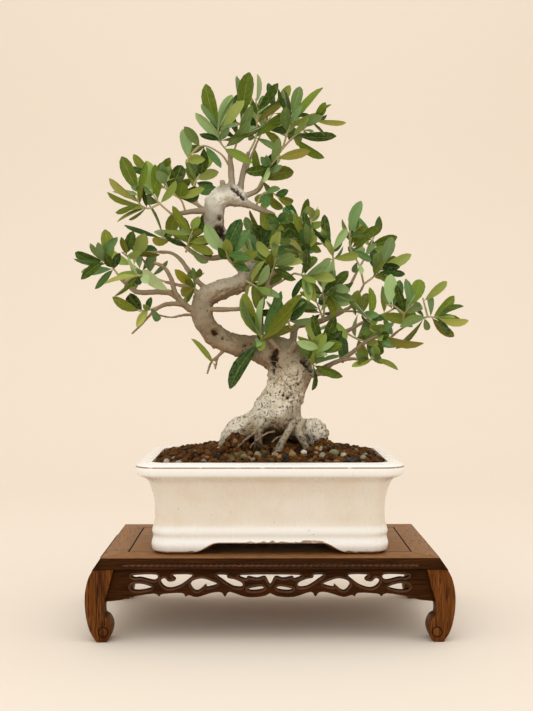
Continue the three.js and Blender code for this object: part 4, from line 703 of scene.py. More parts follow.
class Room:
    """Marks along everything placed so far, so that a new leaf finds a clear place."""

    def __init__(self):
        self.points, self.radii, self.owners = [], [], []

    def mark(self, owner, point, radius=0.0):
        self.points.append(tuple(point))
        self.radii.append(radius)
        self.owners.append(owner)

    def mark_rod(self, owner, points, radii, count):
        for place in range(count + 1):
            share = place / count
            self.mark(owner, along(points, share), radii[0] + (radii[1] - radii[0]) * share)

    def freeze(self):
        self.grid = np.array(self.points)
        self.reach = np.array(self.radii)
        self.owner = np.array(self.owners)

    def left(self, owner, spots):
        """The room between the spots and the nearest mark of another owner."""
        others = self.owner != owner
        away = np.linalg.norm(self.grid[others][:, None] - np.array([tuple(s) for s in spots]), axis=2)
        return float((away - self.reach[others][:, None]).min())


def wood_room():
    """Marks along the trunk and the limbs."""
    room = Room()
    for path, depth, radii in LIMBS:
        room.mark_rod("wood", deep(path, depth), radii, 3 * len(path))
    for before, after in zip(TRUNK, TRUNK[1:]):
        ends = [at(x, z, y) for x, z, y, _ in (before, after)]
        room.mark_rod("wood", ends, (before[3], after[3]), 4)
    return room


# ---------------------------------------------------------------- what a user may change


def size(name, description, value):
    return FloatProperty(name=name, description=description, default=value * MM, min=0.0, unit="LENGTH",
                         precision=4)


def power(name, description, value):
    return FloatProperty(name=name, description=description, default=value, min=0.0, unit="POWER")


def colour(name, description, code):
    return FloatVectorProperty(name=name, description=description, default=linear(code), size=4, min=0.0,
                               max=1.0, subtype="COLOR")


class StandSettings(bpy.types.PropertyGroup):
    edge: size("Eased edge", "Width of the rounding on the top's edges", 0.7)
    carving: size("Carved edge", "Width of the rounding along the aprons and legs", 1.1)
    walnut: colour("Walnut", "The wood where it is plain", "#6b3c16")
    walnut_light: colour("Light streaks", "The wood where its figure is lightest", "#7f4c20")
    walnut_dark: colour("Dark figure", "The wood where its figure is darkest", "#43220a")
    # Also painted shade: the near black of the gaps and grooves between parts.
    walnut_pores_and_gap_shade: colour("Pores", "The oil left in the open pores", "#1c0d04")
    # A painted highlight: the paler walnut that faces lit from above are painted with.
    walnut_top_lit: colour("Worn face", "The wood where use has paled it", "#a5794f")
    # A deep tone: painted shade on the rails' faces that do not look up, and the tone of aprons and polished
    # edges.
    walnut_deep_and_shade: colour("Rubbed edge", "The wood where carving is rubbed dark", "#241002")


class PotSettings(bpy.types.PropertyGroup):
    columns: size("Column pitch", "Distance between the wall's columns of faces", 5.0)
    glaze: colour("Glaze", "The glaze where it lies thin and even", "#f0efee")
    # Also painted shade: the warm, darker glaze in the groove between the rolls and under the lip; and faint
    # streaks.
    glaze_warm_and_shade: colour("Pooled glaze", "The glaze where it has run thick", "#dbcfbf")
    glaze_break: colour("Edge", "The clay that shows where the glaze runs thin", "#87633c")
    glaze_speck: colour("Specks", "Iron specks in the glaze", "#9b7a55")
    bare_clay: colour("Bare clay", "The unglazed foot", "#6b4a33")


class SoilSettings(bpy.types.PropertyGroup):
    pitch: size("Granule pitch", "Distance from one large granule to the next", 7.0)
    fines: IntProperty(name="Fines", description="Number of small granules", default=1400, min=0)
    seed: IntProperty(name="Seed", description="Start of the granules' random draws", default=11)


class TreeSettings(bpy.types.PropertyGroup):
    cell: size("Wood detail", "Size of the cells that the wood's joints are blended with", 1.31)
    relief: size("Bark relief", "Height of the bark's lumps on the trunk", 1.5)
    bark_smooth: colour("Smooth bark", "The thin bark of the upper trunk", "#f1efe6")
    bark_pale: colour("Pale bark", "Weathered plates of the bark", "#ebe1cb")
    bark_grey: colour("Grey bark", "The bark between the plates", "#cdbd9f")
    bark_limb: colour("Limb bark", "The bark of the limbs and of dull patches", "#9a8d76")
    # Also painted shade just below the top bend.
    bark_dull_and_shade: colour("Dull bark", "The bark of the bends above the crotch", "#644c2a")
    # Also painted shade, on bark that looks down and on bark that looks to the right.
    bark_brown_and_shade: colour("Brown bark", "Sheltered bark and cracks", "#85603a")
    # Also painted shade, near black, in the hollows and the recess at the trunk's base, and partly near the
    # soil.
    bark_pits_and_shade: colour("Pits", "Dark pores and open hollows of the bark", "#38230f")
    shoot: colour("Shoots", "Bark of the thin shoots", "#a3904a")
    seed: IntProperty(name="Seed", description="Start of the leaves' random draws", default=5)


class StageSettings(bpy.types.PropertyGroup):
    paper: colour("Paper", "The seamless paper", "#e6dbd0")
    key: power("Front light", "Power of the large light at the front", 12.1)
    top: power("Top light", "Power of the large light overhead", 12.65)
    wall: power("Backdrop light", "Power of the light on the paper behind", 5.06)


# ---------------------------------------------------------------- stand

FRONT_FACE = -116.5
LEG_DEPTH = 29
UNDERSIDE = 81.3
LEG_OUTSIDE = ((-193.7, 0), (-200.8, 11.2), (-204.7, 24), (-206.9, 40), (-206.6, 56), (-203.2, 71),
               (-198, UNDERSIDE))
LEG_INSIDE = ((-175.3, UNDERSIDE), (-179.9, 62), (-184.4, 48), (-186.4, 36), (-186, 28.8))
LEG_SCROLL = ((-186, 28.8), (-181.2, 25.6), (-178, 19.2), (-177.4, 12.5), (-179.6, 4.5), (-183.2, 0))
BOSS_AT = (-186.3, 11.6)
BOSS_RADIUS = 6.6
# Rings turned into the boss, from its rim inwards: width, rise and finish.
# Finish 2 is the gap shade: the turned groove is painted near black, as painted shade.
BOSS_RINGS = ((0.3, 0.1, 0), (1.0, 0.0, 2), (0.3, 0.4, 2), (0.7, 0.3, 0))
APRON_FACE = -112
APRON_THICKNESS = 9
# The carved contour of an opening: how far outside it and behind the board's face it runs, and its radius.
CONTOUR = (1.15, 0.35, 1.5)
SIDE_FACE = 196
SIDE_HALF = 87.2
SIDE_WAVES = 4
SIDE_STEPS = 64
APRON_EDGE = (
    (-184.9, 44.4), (-167.2, 46.2), (-155.8, 49.5), (-130.5, 53.4), (-124.5, 50.1), (-120.3, 53),
    (-98.9, 54), (-95, 50.1), (-91, 51.6), (-81.8, 49.5), (-64.7, 54.4), (-55, 54.6),
    (-50.5, 49.9), (-45.4, 55.2), (-26.8, 49.5), (-9.1, 50.1), (0, 53.7),
)
# Openings of the scrollwork: left half, drawn as loops in x and z.
SCROLL_OPENINGS = (
    ((-154.5, 74.4), (-151.6, 70.8), (-145.2, 71.2), (-129.4, 68), (-127.3, 75.1)),
    ((-156.6, 60.5), (-153.2, 57.2), (-143.5, 56.9), (-131.7, 60.5), (-143, 64.8), (-153.2, 64.4)),
    ((-87.5, 74.7), (-109.6, 74.7), (-105.8, 69.2), (-113, 67.2), (-118.5, 71.1), (-123, 67.5),
     (-118.8, 61.2), (-111.6, 59.1), (-101.8, 61.9), (-93.2, 67.6)),
    ((-89.3, 63.3), (-84.5, 56.6), (-79, 57.3), (-72.1, 63.1), (-70.5, 60.1), (-58.6, 63.7), (-66.1, 68),
     (-76.5, 70.8), (-86.5, 68.4)),
    ((-60.4, 74.4), (-53.2, 68.4), (-44.7, 62.7), (-39, 60.5), (-31.5, 60.5), (-31.4, 65.6), (-39.7, 69.7),
     (-48, 71.5), (-49, 74.7)),
    ((-25.8, 58.3), (-20.5, 56.2), (-9.7, 57.3), (-6.6, 59.8), (-10.5, 61.9), (-21.9, 60.1)),
)
CROWN_OPENING = ((-33, 74.6), (-27.3, 69.4), (-24.7, 72), (-14.8, 70.1), (-5.5, 72), (0, 63))


def across_middle(half):
    """A drawn left half with its mirror image after it."""
    return [*half, *((-x, z) for x, z in reversed(half) if abs(x) > 0.01)]


TOP = 93.6
# Half sizes and flares are for the length of the top and for its depth.
TOP_HALF = (190.5, 115.0)
TOP_FLARE = (7.0, 3.0)
RAIL_THICKNESS = 12
RAIL_STOCK = 460
# The groove for the panel's tongue: from and to in height, and its depth.
GROOVE = (85.0, 89.0, 6.0)
BEAD_AT = 85.7
BEAD_RADIUS = 1.7
BEAD_HALF = (165.0, 72.0)
BEAD_STEPS = 330
BEAD_TURNS = 0.95
# The opening of the top isn't centred from front to back: its edges for each of the four rails in turn.
RAIL_INNER = (77.0, 163.0, 88.0, 163.0)
# The top-lit finish is a painted highlight, the darkened one is painted shade, and the gap shade is painted
# shadow.
TOP_FINISHES = ("planed", "rubbed", "polished", "filled")
TOP_LIT, DARKENED, POLISHED, GAP_SHADE = range(4)


def rail(turns, edge):
    """One rail of the top, drawn as the front one and turned into place: its section is drawn out along x,
    mitred at both ends, and carries a carved bead under its front edge."""
    along_it, across_it = turns % 2, 1 - turns % 2
    end, bead = TOP_HALF[along_it], BEAD_HALF[along_it]
    outer, flare = TOP_HALF[across_it], TOP_FLARE[across_it]
    inner, under = RAIL_INNER[turns], TOP - RAIL_THICKNESS
    low, high, reach = GROOVE
    section = (
        (inner, TOP - edge), (inner + edge, TOP), (outer - 1.2, TOP), (outer - 0.3, TOP - 0.4),
        (outer + 0.1, TOP - 1.2), (outer + flare, under + 0.6), (outer + flare - 0.8, under), (inner, under),
        (inner, low), (inner + reach, low), (inner + reach, high), (inner, high),
    )
    bm = bmesh.new()
    face = bm.faces.new([bm.verts.new((-RAIL_STOCK / 2, -y, z)) for y, z in section])
    grown = bmesh.ops.extrude_face_region(bm, geom=[face])["geom"]
    far_end = [item for item in grown if isinstance(item, bmesh.types.BMVert)]
    bmesh.ops.translate(bm, vec=(RAIL_STOCK, 0, 0), verts=far_end)
    for side in (-1, 1):
        neighbour = RAIL_INNER[(turns + side) % 4]
        inner_corner = Vector((side * (neighbour - 0.67 * GAP), -inner, 0))
        run = Vector((side * (end - neighbour), inner - outer, 0)).normalized()
        bmesh.ops.bisect_plane(bm, geom=everything(bm), plane_co=inner_corner, dist=1e-4,
                               plane_no=Vector((-run.y, run.x, 0)) * side, clear_outer=True)
        bmesh.ops.holes_fill(bm, edges=[e for e in bm.edges if e.is_boundary])
    bmesh.ops.recalc_face_normals(bm, faces=bm.faces)
    bm.normal_update()
    for face in bm.faces:
        # Faces that look up take the top-lit finish, a painted highlight; all others take the darkened one,
        # painted shade.
        face.material_index = TOP_LIT if face.normal.z > 0.95 else DARKENED
        # The slope along the inner edge, at the gap to the panel, is painted near black: painted shadow in
        # the gap.
        if face.normal.z > 0.1 and abs(face.calc_center_median().y + inner) < edge:
            face.material_index = GAP_SHADE
    drop = (TOP - BEAD_AT) / RAIL_THICKNESS
    middle = -(outer + flare * drop) + 0.3
    path = [Vector((-bead + 2 * bead * k / BEAD_STEPS, middle, BEAD_AT)) for k in range(BEAD_STEPS + 1)]
    carved = bmesh.new()
    rod(carved, path, lambda s, a: BEAD_RADIUS * (1 - 0.5 * math.sin(s * bead * BEAD_TURNS + a) ** 2), 10,
        POLISHED)
    take_in(bm, carved)
    bmesh.ops.rotate(bm, matrix=Matrix.Rotation(turns * math.pi / 2, 3, "Z"), verts=bm.verts)
    return bm


def leg(side, end, edge):
    """A leg drawn as the front left one, with the rings of its boss on its face, and mirrored into place."""
    outline = [*flowing(LEG_OUTSIDE, 5), *flowing(LEG_INSIDE, 5)[:-1], *flowing(LEG_SCROLL, 5)]
    part = board(outline, FRONT_FACE, LEG_DEPTH, ((0.25 * edge, 0.5 * edge), (0.6 * edge, 0.3 * edge)))
    place = Matrix.Translation((BOSS_AT[0], FRONT_FACE, BOSS_AT[1])) @ Matrix.Rotation(math.pi / 2, 4, "X")
    boss = bmesh.ops.create_cone(part, cap_ends=True, segments=32, radius1=BOSS_RADIUS,
                                 radius2=BOSS_RADIUS - 0.2, depth=0.6, matrix=place)["verts"]
    cap = min({face for vert in boss for face in vert.link_faces}, key=lambda f: f.calc_center_median().y)
    for width, rise, kind in BOSS_RINGS:
        ring = bmesh.ops.inset_region(part, faces=[cap], thickness=width, use_boundary=True)["faces"]
        for face in ring:
            face.material_index = kind
        bmesh.ops.translate(part, vec=(0, -rise, 0), verts=cap.verts)
    cap.material_index = 0
    if side > 0:
        mirrored(part, 0)
    if end > 0:
        mirrored(part, 1)
    return part


def raised_lip(loop):
    """A line just outside an opening, where its carved contour stands proud of the board."""
    count = len(loop)
    area = sum(loop[i - 1][0] * loop[i][1] - loop[i][0] * loop[i - 1][1] for i in range(count))
    turn = CONTOUR[0] if area > 0 else -CONTOUR[0]
    line = []
    for i in range(count + 2):
        before, here, after = (Vector(loop[(i + k) % count]) for k in (-1, 0, 1))
        run = (after - before).normalized()
        line.append(Vector((here.x + run.y * turn, APRON_FACE + CONTOUR[1], here.y - run.x * turn)))
    return line


def apron_steps(edge):
    """How the edges of an apron round over."""
    return (0.2 * edge, 0.45 * edge), (0.5 * edge, 0.3 * edge)


def front_apron(end, edge):
    """A pierced board that fits between two legs, with a contour carved round each opening."""
    inside = [(x + GAP, z) for x, z in flowing(LEG_INSIDE, 5) if z > 47]
    outline = across_middle([*inside, *(tuple(point) for point in flowing(APRON_EDGE, 3))])
    holes = []
    for loop in SCROLL_OPENINGS:
        drawn = [tuple(point) for point in flowing(loop, 4, closed=True)]
        holes += [drawn, [(-x, z) for x, z in drawn]]
    crown = across_middle(CROWN_OPENING)
    holes.append([tuple(point) for point in flowing(crown, 3, closed=True)])
    part = board(outline, APRON_FACE, APRON_THICKNESS, apron_steps(edge), holes)
    for loop in holes:
        rod(part, raised_lip(loop), lambda *_: CONTOUR[2], 8, 1)
    if end > 0:
        mirrored(part, 1)
    return part


def side_apron(side, edge):
    """A plain board with waves along its lower edge, turned to stand between the legs of one end."""
    end = SIDE_HALF
    wave = [(-end + 2 * end * k / SIDE_STEPS, 48 + 6 * abs(math.sin(math.pi * SIDE_WAVES * k / SIDE_STEPS)))
            for k in range(1, SIDE_STEPS)]
    outline = [(-end, UNDERSIDE), (-end, 46), *wave, (end, 46), (end, UNDERSIDE)]
    part = board(outline, 0, APRON_THICKNESS, apron_steps(edge))
    place = -SIDE_FACE + APRON_THICKNESS if side < 0 else SIDE_FACE
    bmesh.ops.rotate(part, matrix=Matrix.Rotation(math.pi / 2, 3, "Z"), verts=part.verts)
    bmesh.ops.translate(part, vec=(place, 0, 0), verts=part.verts)
    return part


class BONSAI_OT_stand_top(bpy.types.Operator):
    """Top of the stand: four mitred rails round a flat panel"""

    bl_idname = "bonsai.stand_top"
    bl_label = "Stand Top"

    def execute(self, context):
        settings = context.scene.bonsai_stand
        woods = {axis: [oiled_walnut(settings, axis, finish) for finish in TOP_FINISHES] for axis in "xy"}
        for turns, node in enumerate(("rail_front", "rail_right", "rail_back", "rail_left")):
            part = rail(turns, settings.edge / MM)
            finished(part, f"moulded_{node}", woods["xy"[turns % 2]], [node], 40)
        panel = softened_copy("top_panel", 0.9)
        for face in panel.faces:
            # Sloped edges take the gap shade, painted shadow in the gap to the rails; other faces the top-lit
            # painted highlight.
            face.material_index = 1 if 0.1 < face.normal.z < 0.97 else 0
        finishes = [woods["x"][TOP_LIT], woods["x"][GAP_SHADE]]
        finished(panel, "planed_top_panel", finishes, ["top_panel"])
        return {"FINISHED"}


class BONSAI_OT_legs(bpy.types.Operator):
    """Four bulging legs that end in a scroll with a turned boss"""

    bl_idname = "bonsai.legs"
    bl_label = "Legs"

    def execute(self, context):
        settings = context.scene.bonsai_stand
        # The gap shade paints the boss's turned groove near black, as painted shade.
        oiled, filled = (oiled_walnut(settings, "z", finish) for finish in ("oiled", "filled"))
        for side, sideways in ((-1, "left"), (1, "right")):
            for end, endways in ((-1, "front"), (1, "back")):
                part = leg(side, end, settings.carving / MM)
                name = f"leg_{endways}_{sideways}"
                finished(part, f"carved_{name}", [oiled, oiled, filled], [name], 40)
        return {"FINISHED"}


class BONSAI_OT_aprons(bpy.types.Operator):
    """Pierced scrollwork boards front and back, and waved boards at the ends"""

    bl_idname = "bonsai.aprons"
    bl_label = "Aprons"

    def execute(self, context):
        settings = context.scene.bonsai_stand
        edge = settings.carving / MM
        # The boards take the darkened finish all over, and their rounded rims and carved contours the
        # polished one.
        woods = {axis: [oiled_walnut(settings, axis, finish) for finish in ("rubbed", "polished")]
                 for axis in "xy"}
        for make, kind, axis, ends in ((front_apron, "pierced", "x", ("front", "back")),
                                       (side_apron, "waved", "y", ("left", "right"))):
            for side, end in zip((-1, 1), ends):
                node = f"apron_{end}"
                finished(make(side, edge), f"{kind}_{node}", woods[axis], [node], 40)
        return {"FINISHED"}


# ---------------------------------------------------------------- pot and soil

POT_HALF = (153.0, 112.5)
POT_CORNER = 26.0
POT_BASE = 93.9
POT_UNDER = 107.2
POT_FLOOR = 116.0
FOOT_WALL = 36.0
DRAIN_AT = 70.0
DRAIN_RADIUS = 11.0
# Profiles of the wall as inset from the rim's outline and z: outside from the foot to the lip, then inside.
POT_OUTSIDE = (
    (22.5, 93.9), (18.4, 96.8), (16.5, 104), (18.3, 112.5), (17.4, 119.4), (20.2, 133), (19.6, 155),
    (14.6, 173), (9.5, 179.8), (1, 185), (0, 194.3), (6, 198), (13, 198.9), (17.6, 197.5),
)
POT_INSIDE = ((17.6, 197.5), (18.4, 191), (24.5, 170), (28, 145), (28, 126), (33, POT_FLOOR))
# The points of the outside where the lip turns, and how far in the soil begins.
LIP_POINTS = (10, 13)
LIP_WIDTH = 18.6
OUTSIDE_STEPS = 5
# Above this height the wall no longer follows the cut of the feet.
FEET_REACH = 110.0
# Height of the gap between two feet: distance from its middle, and share of its full height.
ARCH = ((94, 0.0), (85, 0.12), (76.5, 0.36), (68, 0.76), (64, 0.93), (58, 1.0), (0, 1.0))
END_ARCH_SIZE = 0.7


def plan_columns(pitch):
    """Columns of the wall in plan: the corner that each belongs to, or its place between two, and the way
    it faces."""
    columns = []
    for quarter, (sx, sy) in enumerate(((1, 1), (-1, 1), (-1, -1), (1, -1))):
        for k in range(13):
            angle = (quarter + k / 12) * math.pi / 2
            columns.append((Vector((sx, sy)), Vector((math.cos(angle), math.sin(angle)))))
        long_side = quarter % 2 == 0
        count = round(2 * (POT_HALF[0 if long_side else 1] - 40) / pitch)
        for k in range(1, count):
            share = 1 - 2 * k / count
            place = Vector((sx * share, sy) if long_side else (sx, sy * share))
            columns.append((place, columns[-1][1]))
    return columns


def in_plan(column, inset):
    """Where a column stands at an inset from the rim's outline, whose corners tighten as it goes in."""
    corner = max(POT_CORNER - 0.3 * inset, 4.0)
    share, facing = column
    return (share.x * (POT_HALF[0] - inset - corner) + facing.x * corner,
            share.y * (POT_HALF[1] - inset - corner) + facing.y * corner)


def arch_height(column):
    """Height of the gap between two feet, above a column of the wall."""
    facing = column[1]
    if min(abs(facing.x), abs(facing.y)) > 0.01:
        return POT_BASE
    x, y = in_plan(column, 20)
    off = abs(x) if abs(facing.y) > 0.5 else abs(y) / END_ARCH_SIZE
    share = 0.0
    for (outer, low), (inner, high) in zip(ARCH, ARCH[1:]):
        if inner <= off < outer:
            share = low + (high - low) * (outer - off) / (outer - inner)
    return POT_BASE + (POT_UNDER - 0.3 - POT_BASE) * share


def rolled(bm, columns, rows, place, kind=0):
    """A grid rolled into a tube. place takes the column and the row of a corner."""
    sheet = bmesh.ops.create_grid(bm, x_segments=columns, y_segments=rows, size=0.5)["verts"]
    for face in {face for vert in sheet for face in vert.link_faces}:
        face.material_index = kind
    for vert in sheet:
        column, row = round((vert.co.x + 0.5) * columns) % columns, round((vert.co.y + 0.5) * rows)
        vert.co = place(column, row)
    bmesh.ops.remove_doubles(bm, verts=sheet, dist=0.001)
    return [vert for vert in sheet if vert.is_valid]


def pot_shell(pitch):
    """Wall, feet and floor. The layer named break is 1 where glaze runs thin: along the two edges of the lip
    and the lower edge of the feet."""
    columns = plan_columns(pitch)
    outside = flowing(POT_OUTSIDE, OUTSIDE_STEPS)
    wall = [*outside, *flowing(POT_INSIDE, 4)[1:]]
    arches = [arch_height(column) for column in columns]

    def on_wall(column, row):
        inset, z = wall[row]
        if row < len(outside) and z < FEET_REACH:
            z = arches[column] + (z - POT_BASE) * (FEET_REACH - arches[column]) / (FEET_REACH - POT_BASE)
            above = next(k for k in range(1, len(outside)) if outside[k].y >= z - 1e-6)
            a, b = outside[above - 1], outside[above]
            inset = a.x + (b.x - a.x) * (z - a.y) / max(b.y - a.y, 1e-6)
        return *in_plan(columns[column], inset), z

    def under_wall(column, row):
        if row == 2:
            return on_wall(column, 0)
        return *in_plan(columns[column], FOOT_WALL), (POT_UNDER, arches[column])[row]

    bm = bmesh.new()
    bm.verts.layers.float.new("break")
    rolled(bm, len(columns), len(wall) - 1, on_wall)
    thin_on_lip(bm, [outside[place * OUTSIDE_STEPS] for place in LIP_POINTS])
    rolled(bm, len(columns), 2, under_wall, 1)
    bmesh.ops.remove_doubles(bm, verts=bm.verts, dist=0.001)
    thin_on_feet(bm)
    pot_floor(bm)
    return bm


def thin_on_lip(bm, edges):
    """Glaze runs thin along the edges of the lip, each given as its inset and its height."""
    thin = bm.verts.layers.float["break"]
    for inset, z in edges:
        half_x, half_y = POT_HALF[0] - inset, POT_HALF[1] - inset
        for vert in bm.verts:
            x, y = abs(vert.co.x), abs(vert.co.y)
            straight = abs(x - half_x) < 0.02 or abs(y - half_y) < 0.02
            rounded = x > half_x - POT_CORNER and y > half_y - POT_CORNER
            if abs(vert.co.z - z) < 0.01 and (straight or rounded):
                vert[thin] = 1.0


def thin_on_feet(bm):
    """Glaze runs thin just above the unglazed foot, in a ragged line that is lower under the arches."""
    thin = bm.verts.layers.float["break"]
    foot = [vert for vert in bm.verts if len({face.material_index for face in vert.link_faces}) == 2]
    below = KDTree(len(foot))
    for k, vert in enumerate(foot):
        below.insert((vert.co.x, vert.co.y, 0), k)
    below.balance()
    for vert in bm.verts:
        if vert.co.z < FEET_REACH and any(face.material_index == 0 for face in vert.link_faces):
            low = foot[below.find((vert.co.x, vert.co.y, 0))[1]].co
            patch = noise.noise(Vector((low.x * 0.03, low.y * 0.03, 5))) + 0.3 * noise.noise(low * 0.22)
            reach = 3.2 if low.z < POT_BASE + 2 else 0.9 + kept(patch * 7, 0.0, 2.2)
            vert[thin] = max(vert[thin], kept(1.5 - (vert.co.z - low.z) / reach))


def pot_floor(bm):
    """Closes the pot above and below its floor, round two drain holes, and leaves the underside unglazed."""
    drains = []
    for level in (POT_FLOOR, POT_UNDER):
        rim = [edge for edge in bm.edges if edge.is_boundary and abs(edge.verts[0].co.z - level) < 0.1]
        circles = []
        for side in (-1, 1):
            middle = Matrix.Translation((side * DRAIN_AT, 0, level))
            circle = bmesh.ops.create_circle(bm, radius=DRAIN_RADIUS, segments=24, matrix=middle)["verts"]
            circles.append(list({edge for vert in circle for edge in vert.link_edges}))
        bmesh.ops.triangle_fill(bm, use_beauty=True, edges=[*rim, *circles[0], *circles[1]],
                                normal=Vector((0, 0, 1)))
        drains.append(circles)
    for top, bottom in zip(*drains):
        bmesh.ops.bridge_loops(bm, edges=[*top, *bottom])
    bmesh.ops.recalc_face_normals(bm, faces=bm.faces)
    bm.normal_update()
    for face in bm.faces:
        if face.normal.z < -0.9 and abs(face.calc_center_median().z - POT_UNDER) < 0.05:
            face.material_index = 1


SOIL_EDGE = 195
MOUND_RISE = 18
MOUND_RADIUS = 93.6
# Granules are made in lots of this many, since operators slow down as their mesh grows.
LOT = 80


def earth_height(x, y):
    """Height of the filling without its granules."""
    radius = max(abs(y), abs(x) - POT_HALF[0] + POT_HALF[1])
    share = kept(1 - radius / MOUND_RADIUS)
    return SOIL_EDGE + MOUND_RISE * math.sin(0.833 * share * math.pi / 2) ** 1.3


# The granules' colours, each with its weight in the random draw.
GRANULE_COLOURS = (
    (32, "#4b2d13"), (27, "#583818"), (13, "#5e4124"), (4, "#685031"), (14, "#28170a"), (3, "#3a3428"),
    (2, "#8a6a45"), (1, "#948468"), (1, "#2b3236"),
)
# Larger odd stones near the trunk: place in plan, radius, colour.
ODD_STONES = (
    (-118, -86, 4.2, "#b3ac9e"), (-104, -90, 4.4, "#aca69a"), (-76, -84, 3.4, "#77736a"),
    (-62, -62, 3.6, "#242a2d"), (-38, -58, 4.6, "#4e5533"), (-44, -70, 3.8, "#5c6147"),
    (-20, -74, 3.4, "#8b8678"), (26, -62, 5.6, "#8f734f"), (18, -70, 3.8, "#222a2f"),
    (62, -60, 5.4, "#969183"), (76, -54, 5.8, "#797b5e"), (86, -62, 4.2, "#9c9881"),
    (98, -76, 3.8, "#29353c"), (90, -80, 3.4, "#323c40"), (40, -52, 3.8, "#bab3a6"),
    (6, -60, 4.4, "#7e735b"), (-14, -62, 5.0, "#857a61"), (-30, -66, 4.2, "#747254"),
    (108, -72, 3.6, "#8b8672"), (120, -60, 3.4, "#807968"),
)
# The large granules' radii, the small ones', and how far a large one strays from the grid, as a share of it.
LARGE = (3.0, 4.7)
SMALL = (1.1, 2.0)
STRAY = 0.28
# The filling's own surface lies this far under its CAD solid's, so that granules show and not the surface.
SUNK = 2.4
# Granules sit lower within this distance of the wall.
WALL_REACH = 10
# Heaps of granules against the roots: middle in plan, half width, half depth, height, number of tries.
HEAPS = ((-40, -32, 17, 12, 18, 170), (64, -32, 15, 11, 11, 110))


def granule(bm, spot, radius, fine, draws, code=None):
    """A lumpy ball, turned and squeezed at random, with its own colour in the layer named tint."""
    layer = bm.verts.layers.float_color["tint"]
    ball = bmesh.ops.create_icosphere(bm, subdivisions=1 if fine else 2, radius=1.0)["verts"]
    shades = [shade for weight, shade in GRANULE_COLOURS for _ in range(weight)]
    shade = Vector(linear(code or draws.choice(shades))[:3]) * draws.uniform(0.75, 1.25)
    turn = Matrix.Rotation(draws.uniform(0, 6.28), 3, (draws.random(), draws.random(), draws.random() + 0.1))
    lean = Vector((draws.uniform(0.85, 1.2), draws.uniform(0.8, 1.1), draws.uniform(0.75, 1.0))) * radius
    phase = Vector((draws.uniform(0, 99), draws.uniform(0, 99), draws.uniform(0, 99)))
    for vert in ball:
        lumpy = vert.co * (1 + 0.28 * noise.noise(vert.co * 1.7 + phase))
        vert.co = spot + turn @ Vector(a * b for a, b in zip(lumpy, lean))
        vert[layer] = (*(shade * (1 + 0.7 * noise.noise(vert.co * 0.9))), 1.0)


def soil_room():
    """Marks along the wood and its thicker roots."""
    room = wood_room()
    for path, depth, radii in ROOTS:
        if radii[0] > 3:
            room.mark_rod("root", deep(path, depth), radii, 8)
    room.freeze()
    return room


def granule_lot():
    patch = bmesh.new()
    patch.verts.layers.float_color.new("tint")
    return patch


def scattered_spots(settings, draws):
    """Places in plan for the granules, each with its radius, whether it is a small one, and its colour if
    that is set: large ones on a loose grid, small ones anywhere, and the odd stones."""
    pitch = settings.pitch / MM
    spots = []
    for row in range(-40, 41):
        for column in range(-40, 41):
            x = (column + 0.5 * (row % 2)) * pitch + draws.uniform(-STRAY, STRAY) * pitch
            y = row * pitch * 0.866 + draws.uniform(-STRAY, STRAY) * pitch
            spots.append((x, y, draws.uniform(*LARGE), False, None))
    for _ in range(settings.fines):
        spots.append((draws.uniform(-134, 134), draws.uniform(-94, 94), draws.uniform(*SMALL), True, None))
    spots += [(x, y, radius, False, code) for x, y, radius, code in ODD_STONES]
    return [spot for spot in spots if in_pot(*spot[:2])]


def earth(settings):
    """The filling's own body, with granules pressed into its top and heaped against the roots."""
    draws = random.Random(settings.seed)
    bm = merged_copy("soil")
    layer = bm.verts.layers.float_color.new("tint")
    for vert in bm.verts:
        # The body is painted near black: painted shade in the gaps between the granules.
        vert[layer] = linear("#1c1007")
        if vert.co.z > SOIL_EDGE - 5:
            vert.co.z -= SUNK
    room = soil_room()
    spots = scattered_spots(settings, draws)
    for first in range(0, len(spots), LOT):
        patch = granule_lot()
        for x, y, radius, fine, code in spots[first:first + LOT]:
            lift = draws.uniform(-1.3, 1.3) + (-0.6 if fine else 0.0) + (1.8 if code else 0.0)
            wall = min(POT_HALF[0] - 20 - abs(x), POT_HALF[1] - 20 + y if y > 0 else 99.0)
            lift -= 1.2 * max(0.0, 1 - wall / WALL_REACH)
            spot = Vector((x, y, earth_height(x, y) - 0.4 + lift))
            if room.left("none", [spot]) > -1.0:
                granule(patch, spot, radius, fine, draws, code)
        take_in(bm, patch)
    for x, y, width, depth, height, tries in HEAPS:
        patch = granule_lot()
        for _ in range(tries):
            aside, back = draws.uniform(-1, 1), draws.uniform(-1, 1)
            rise = height * (1 - aside * aside - back * back)
            spot = Vector((x + width * aside, y + depth * back, 0))
            spot.z = earth_height(spot.x, spot.y) + rise - 1.5
            if rise > 0 and room.left("none", [spot]) > -1.5:
                granule(patch, spot, draws.uniform(2.8, 4.2), False, draws)
        take_in(bm, patch)
    return bm


def in_pot(x, y):
    """Whether a spot is within the lip, whose inner outline is a rounded rectangle."""
    half_x, half_y, corner = POT_HALF[0] - LIP_WIDTH, POT_HALF[1] - LIP_WIDTH, POT_CORNER - 5.6
    dx, dy = max(abs(x) - half_x + corner, 0.0), max(abs(y) - half_y + corner, 0.0)
    return abs(x) < half_x and abs(y) < half_y and math.hypot(dx, dy) < corner


class BONSAI_OT_pot(bpy.types.Operator):
    """Rectangular pot with rounded corners, a rolled lip and cloud-cut feet"""

    bl_idname = "bonsai.pot"
    bl_label = "Pot"

    def execute(self, context):
        settings = context.scene.bonsai_pot
        finishes = [cream_glaze(settings), bare_stoneware(settings)]
        finished(pot_shell(settings.columns / MM), "glazed_pot", finishes, ["pot"], 50)
        return {"FINISHED"}


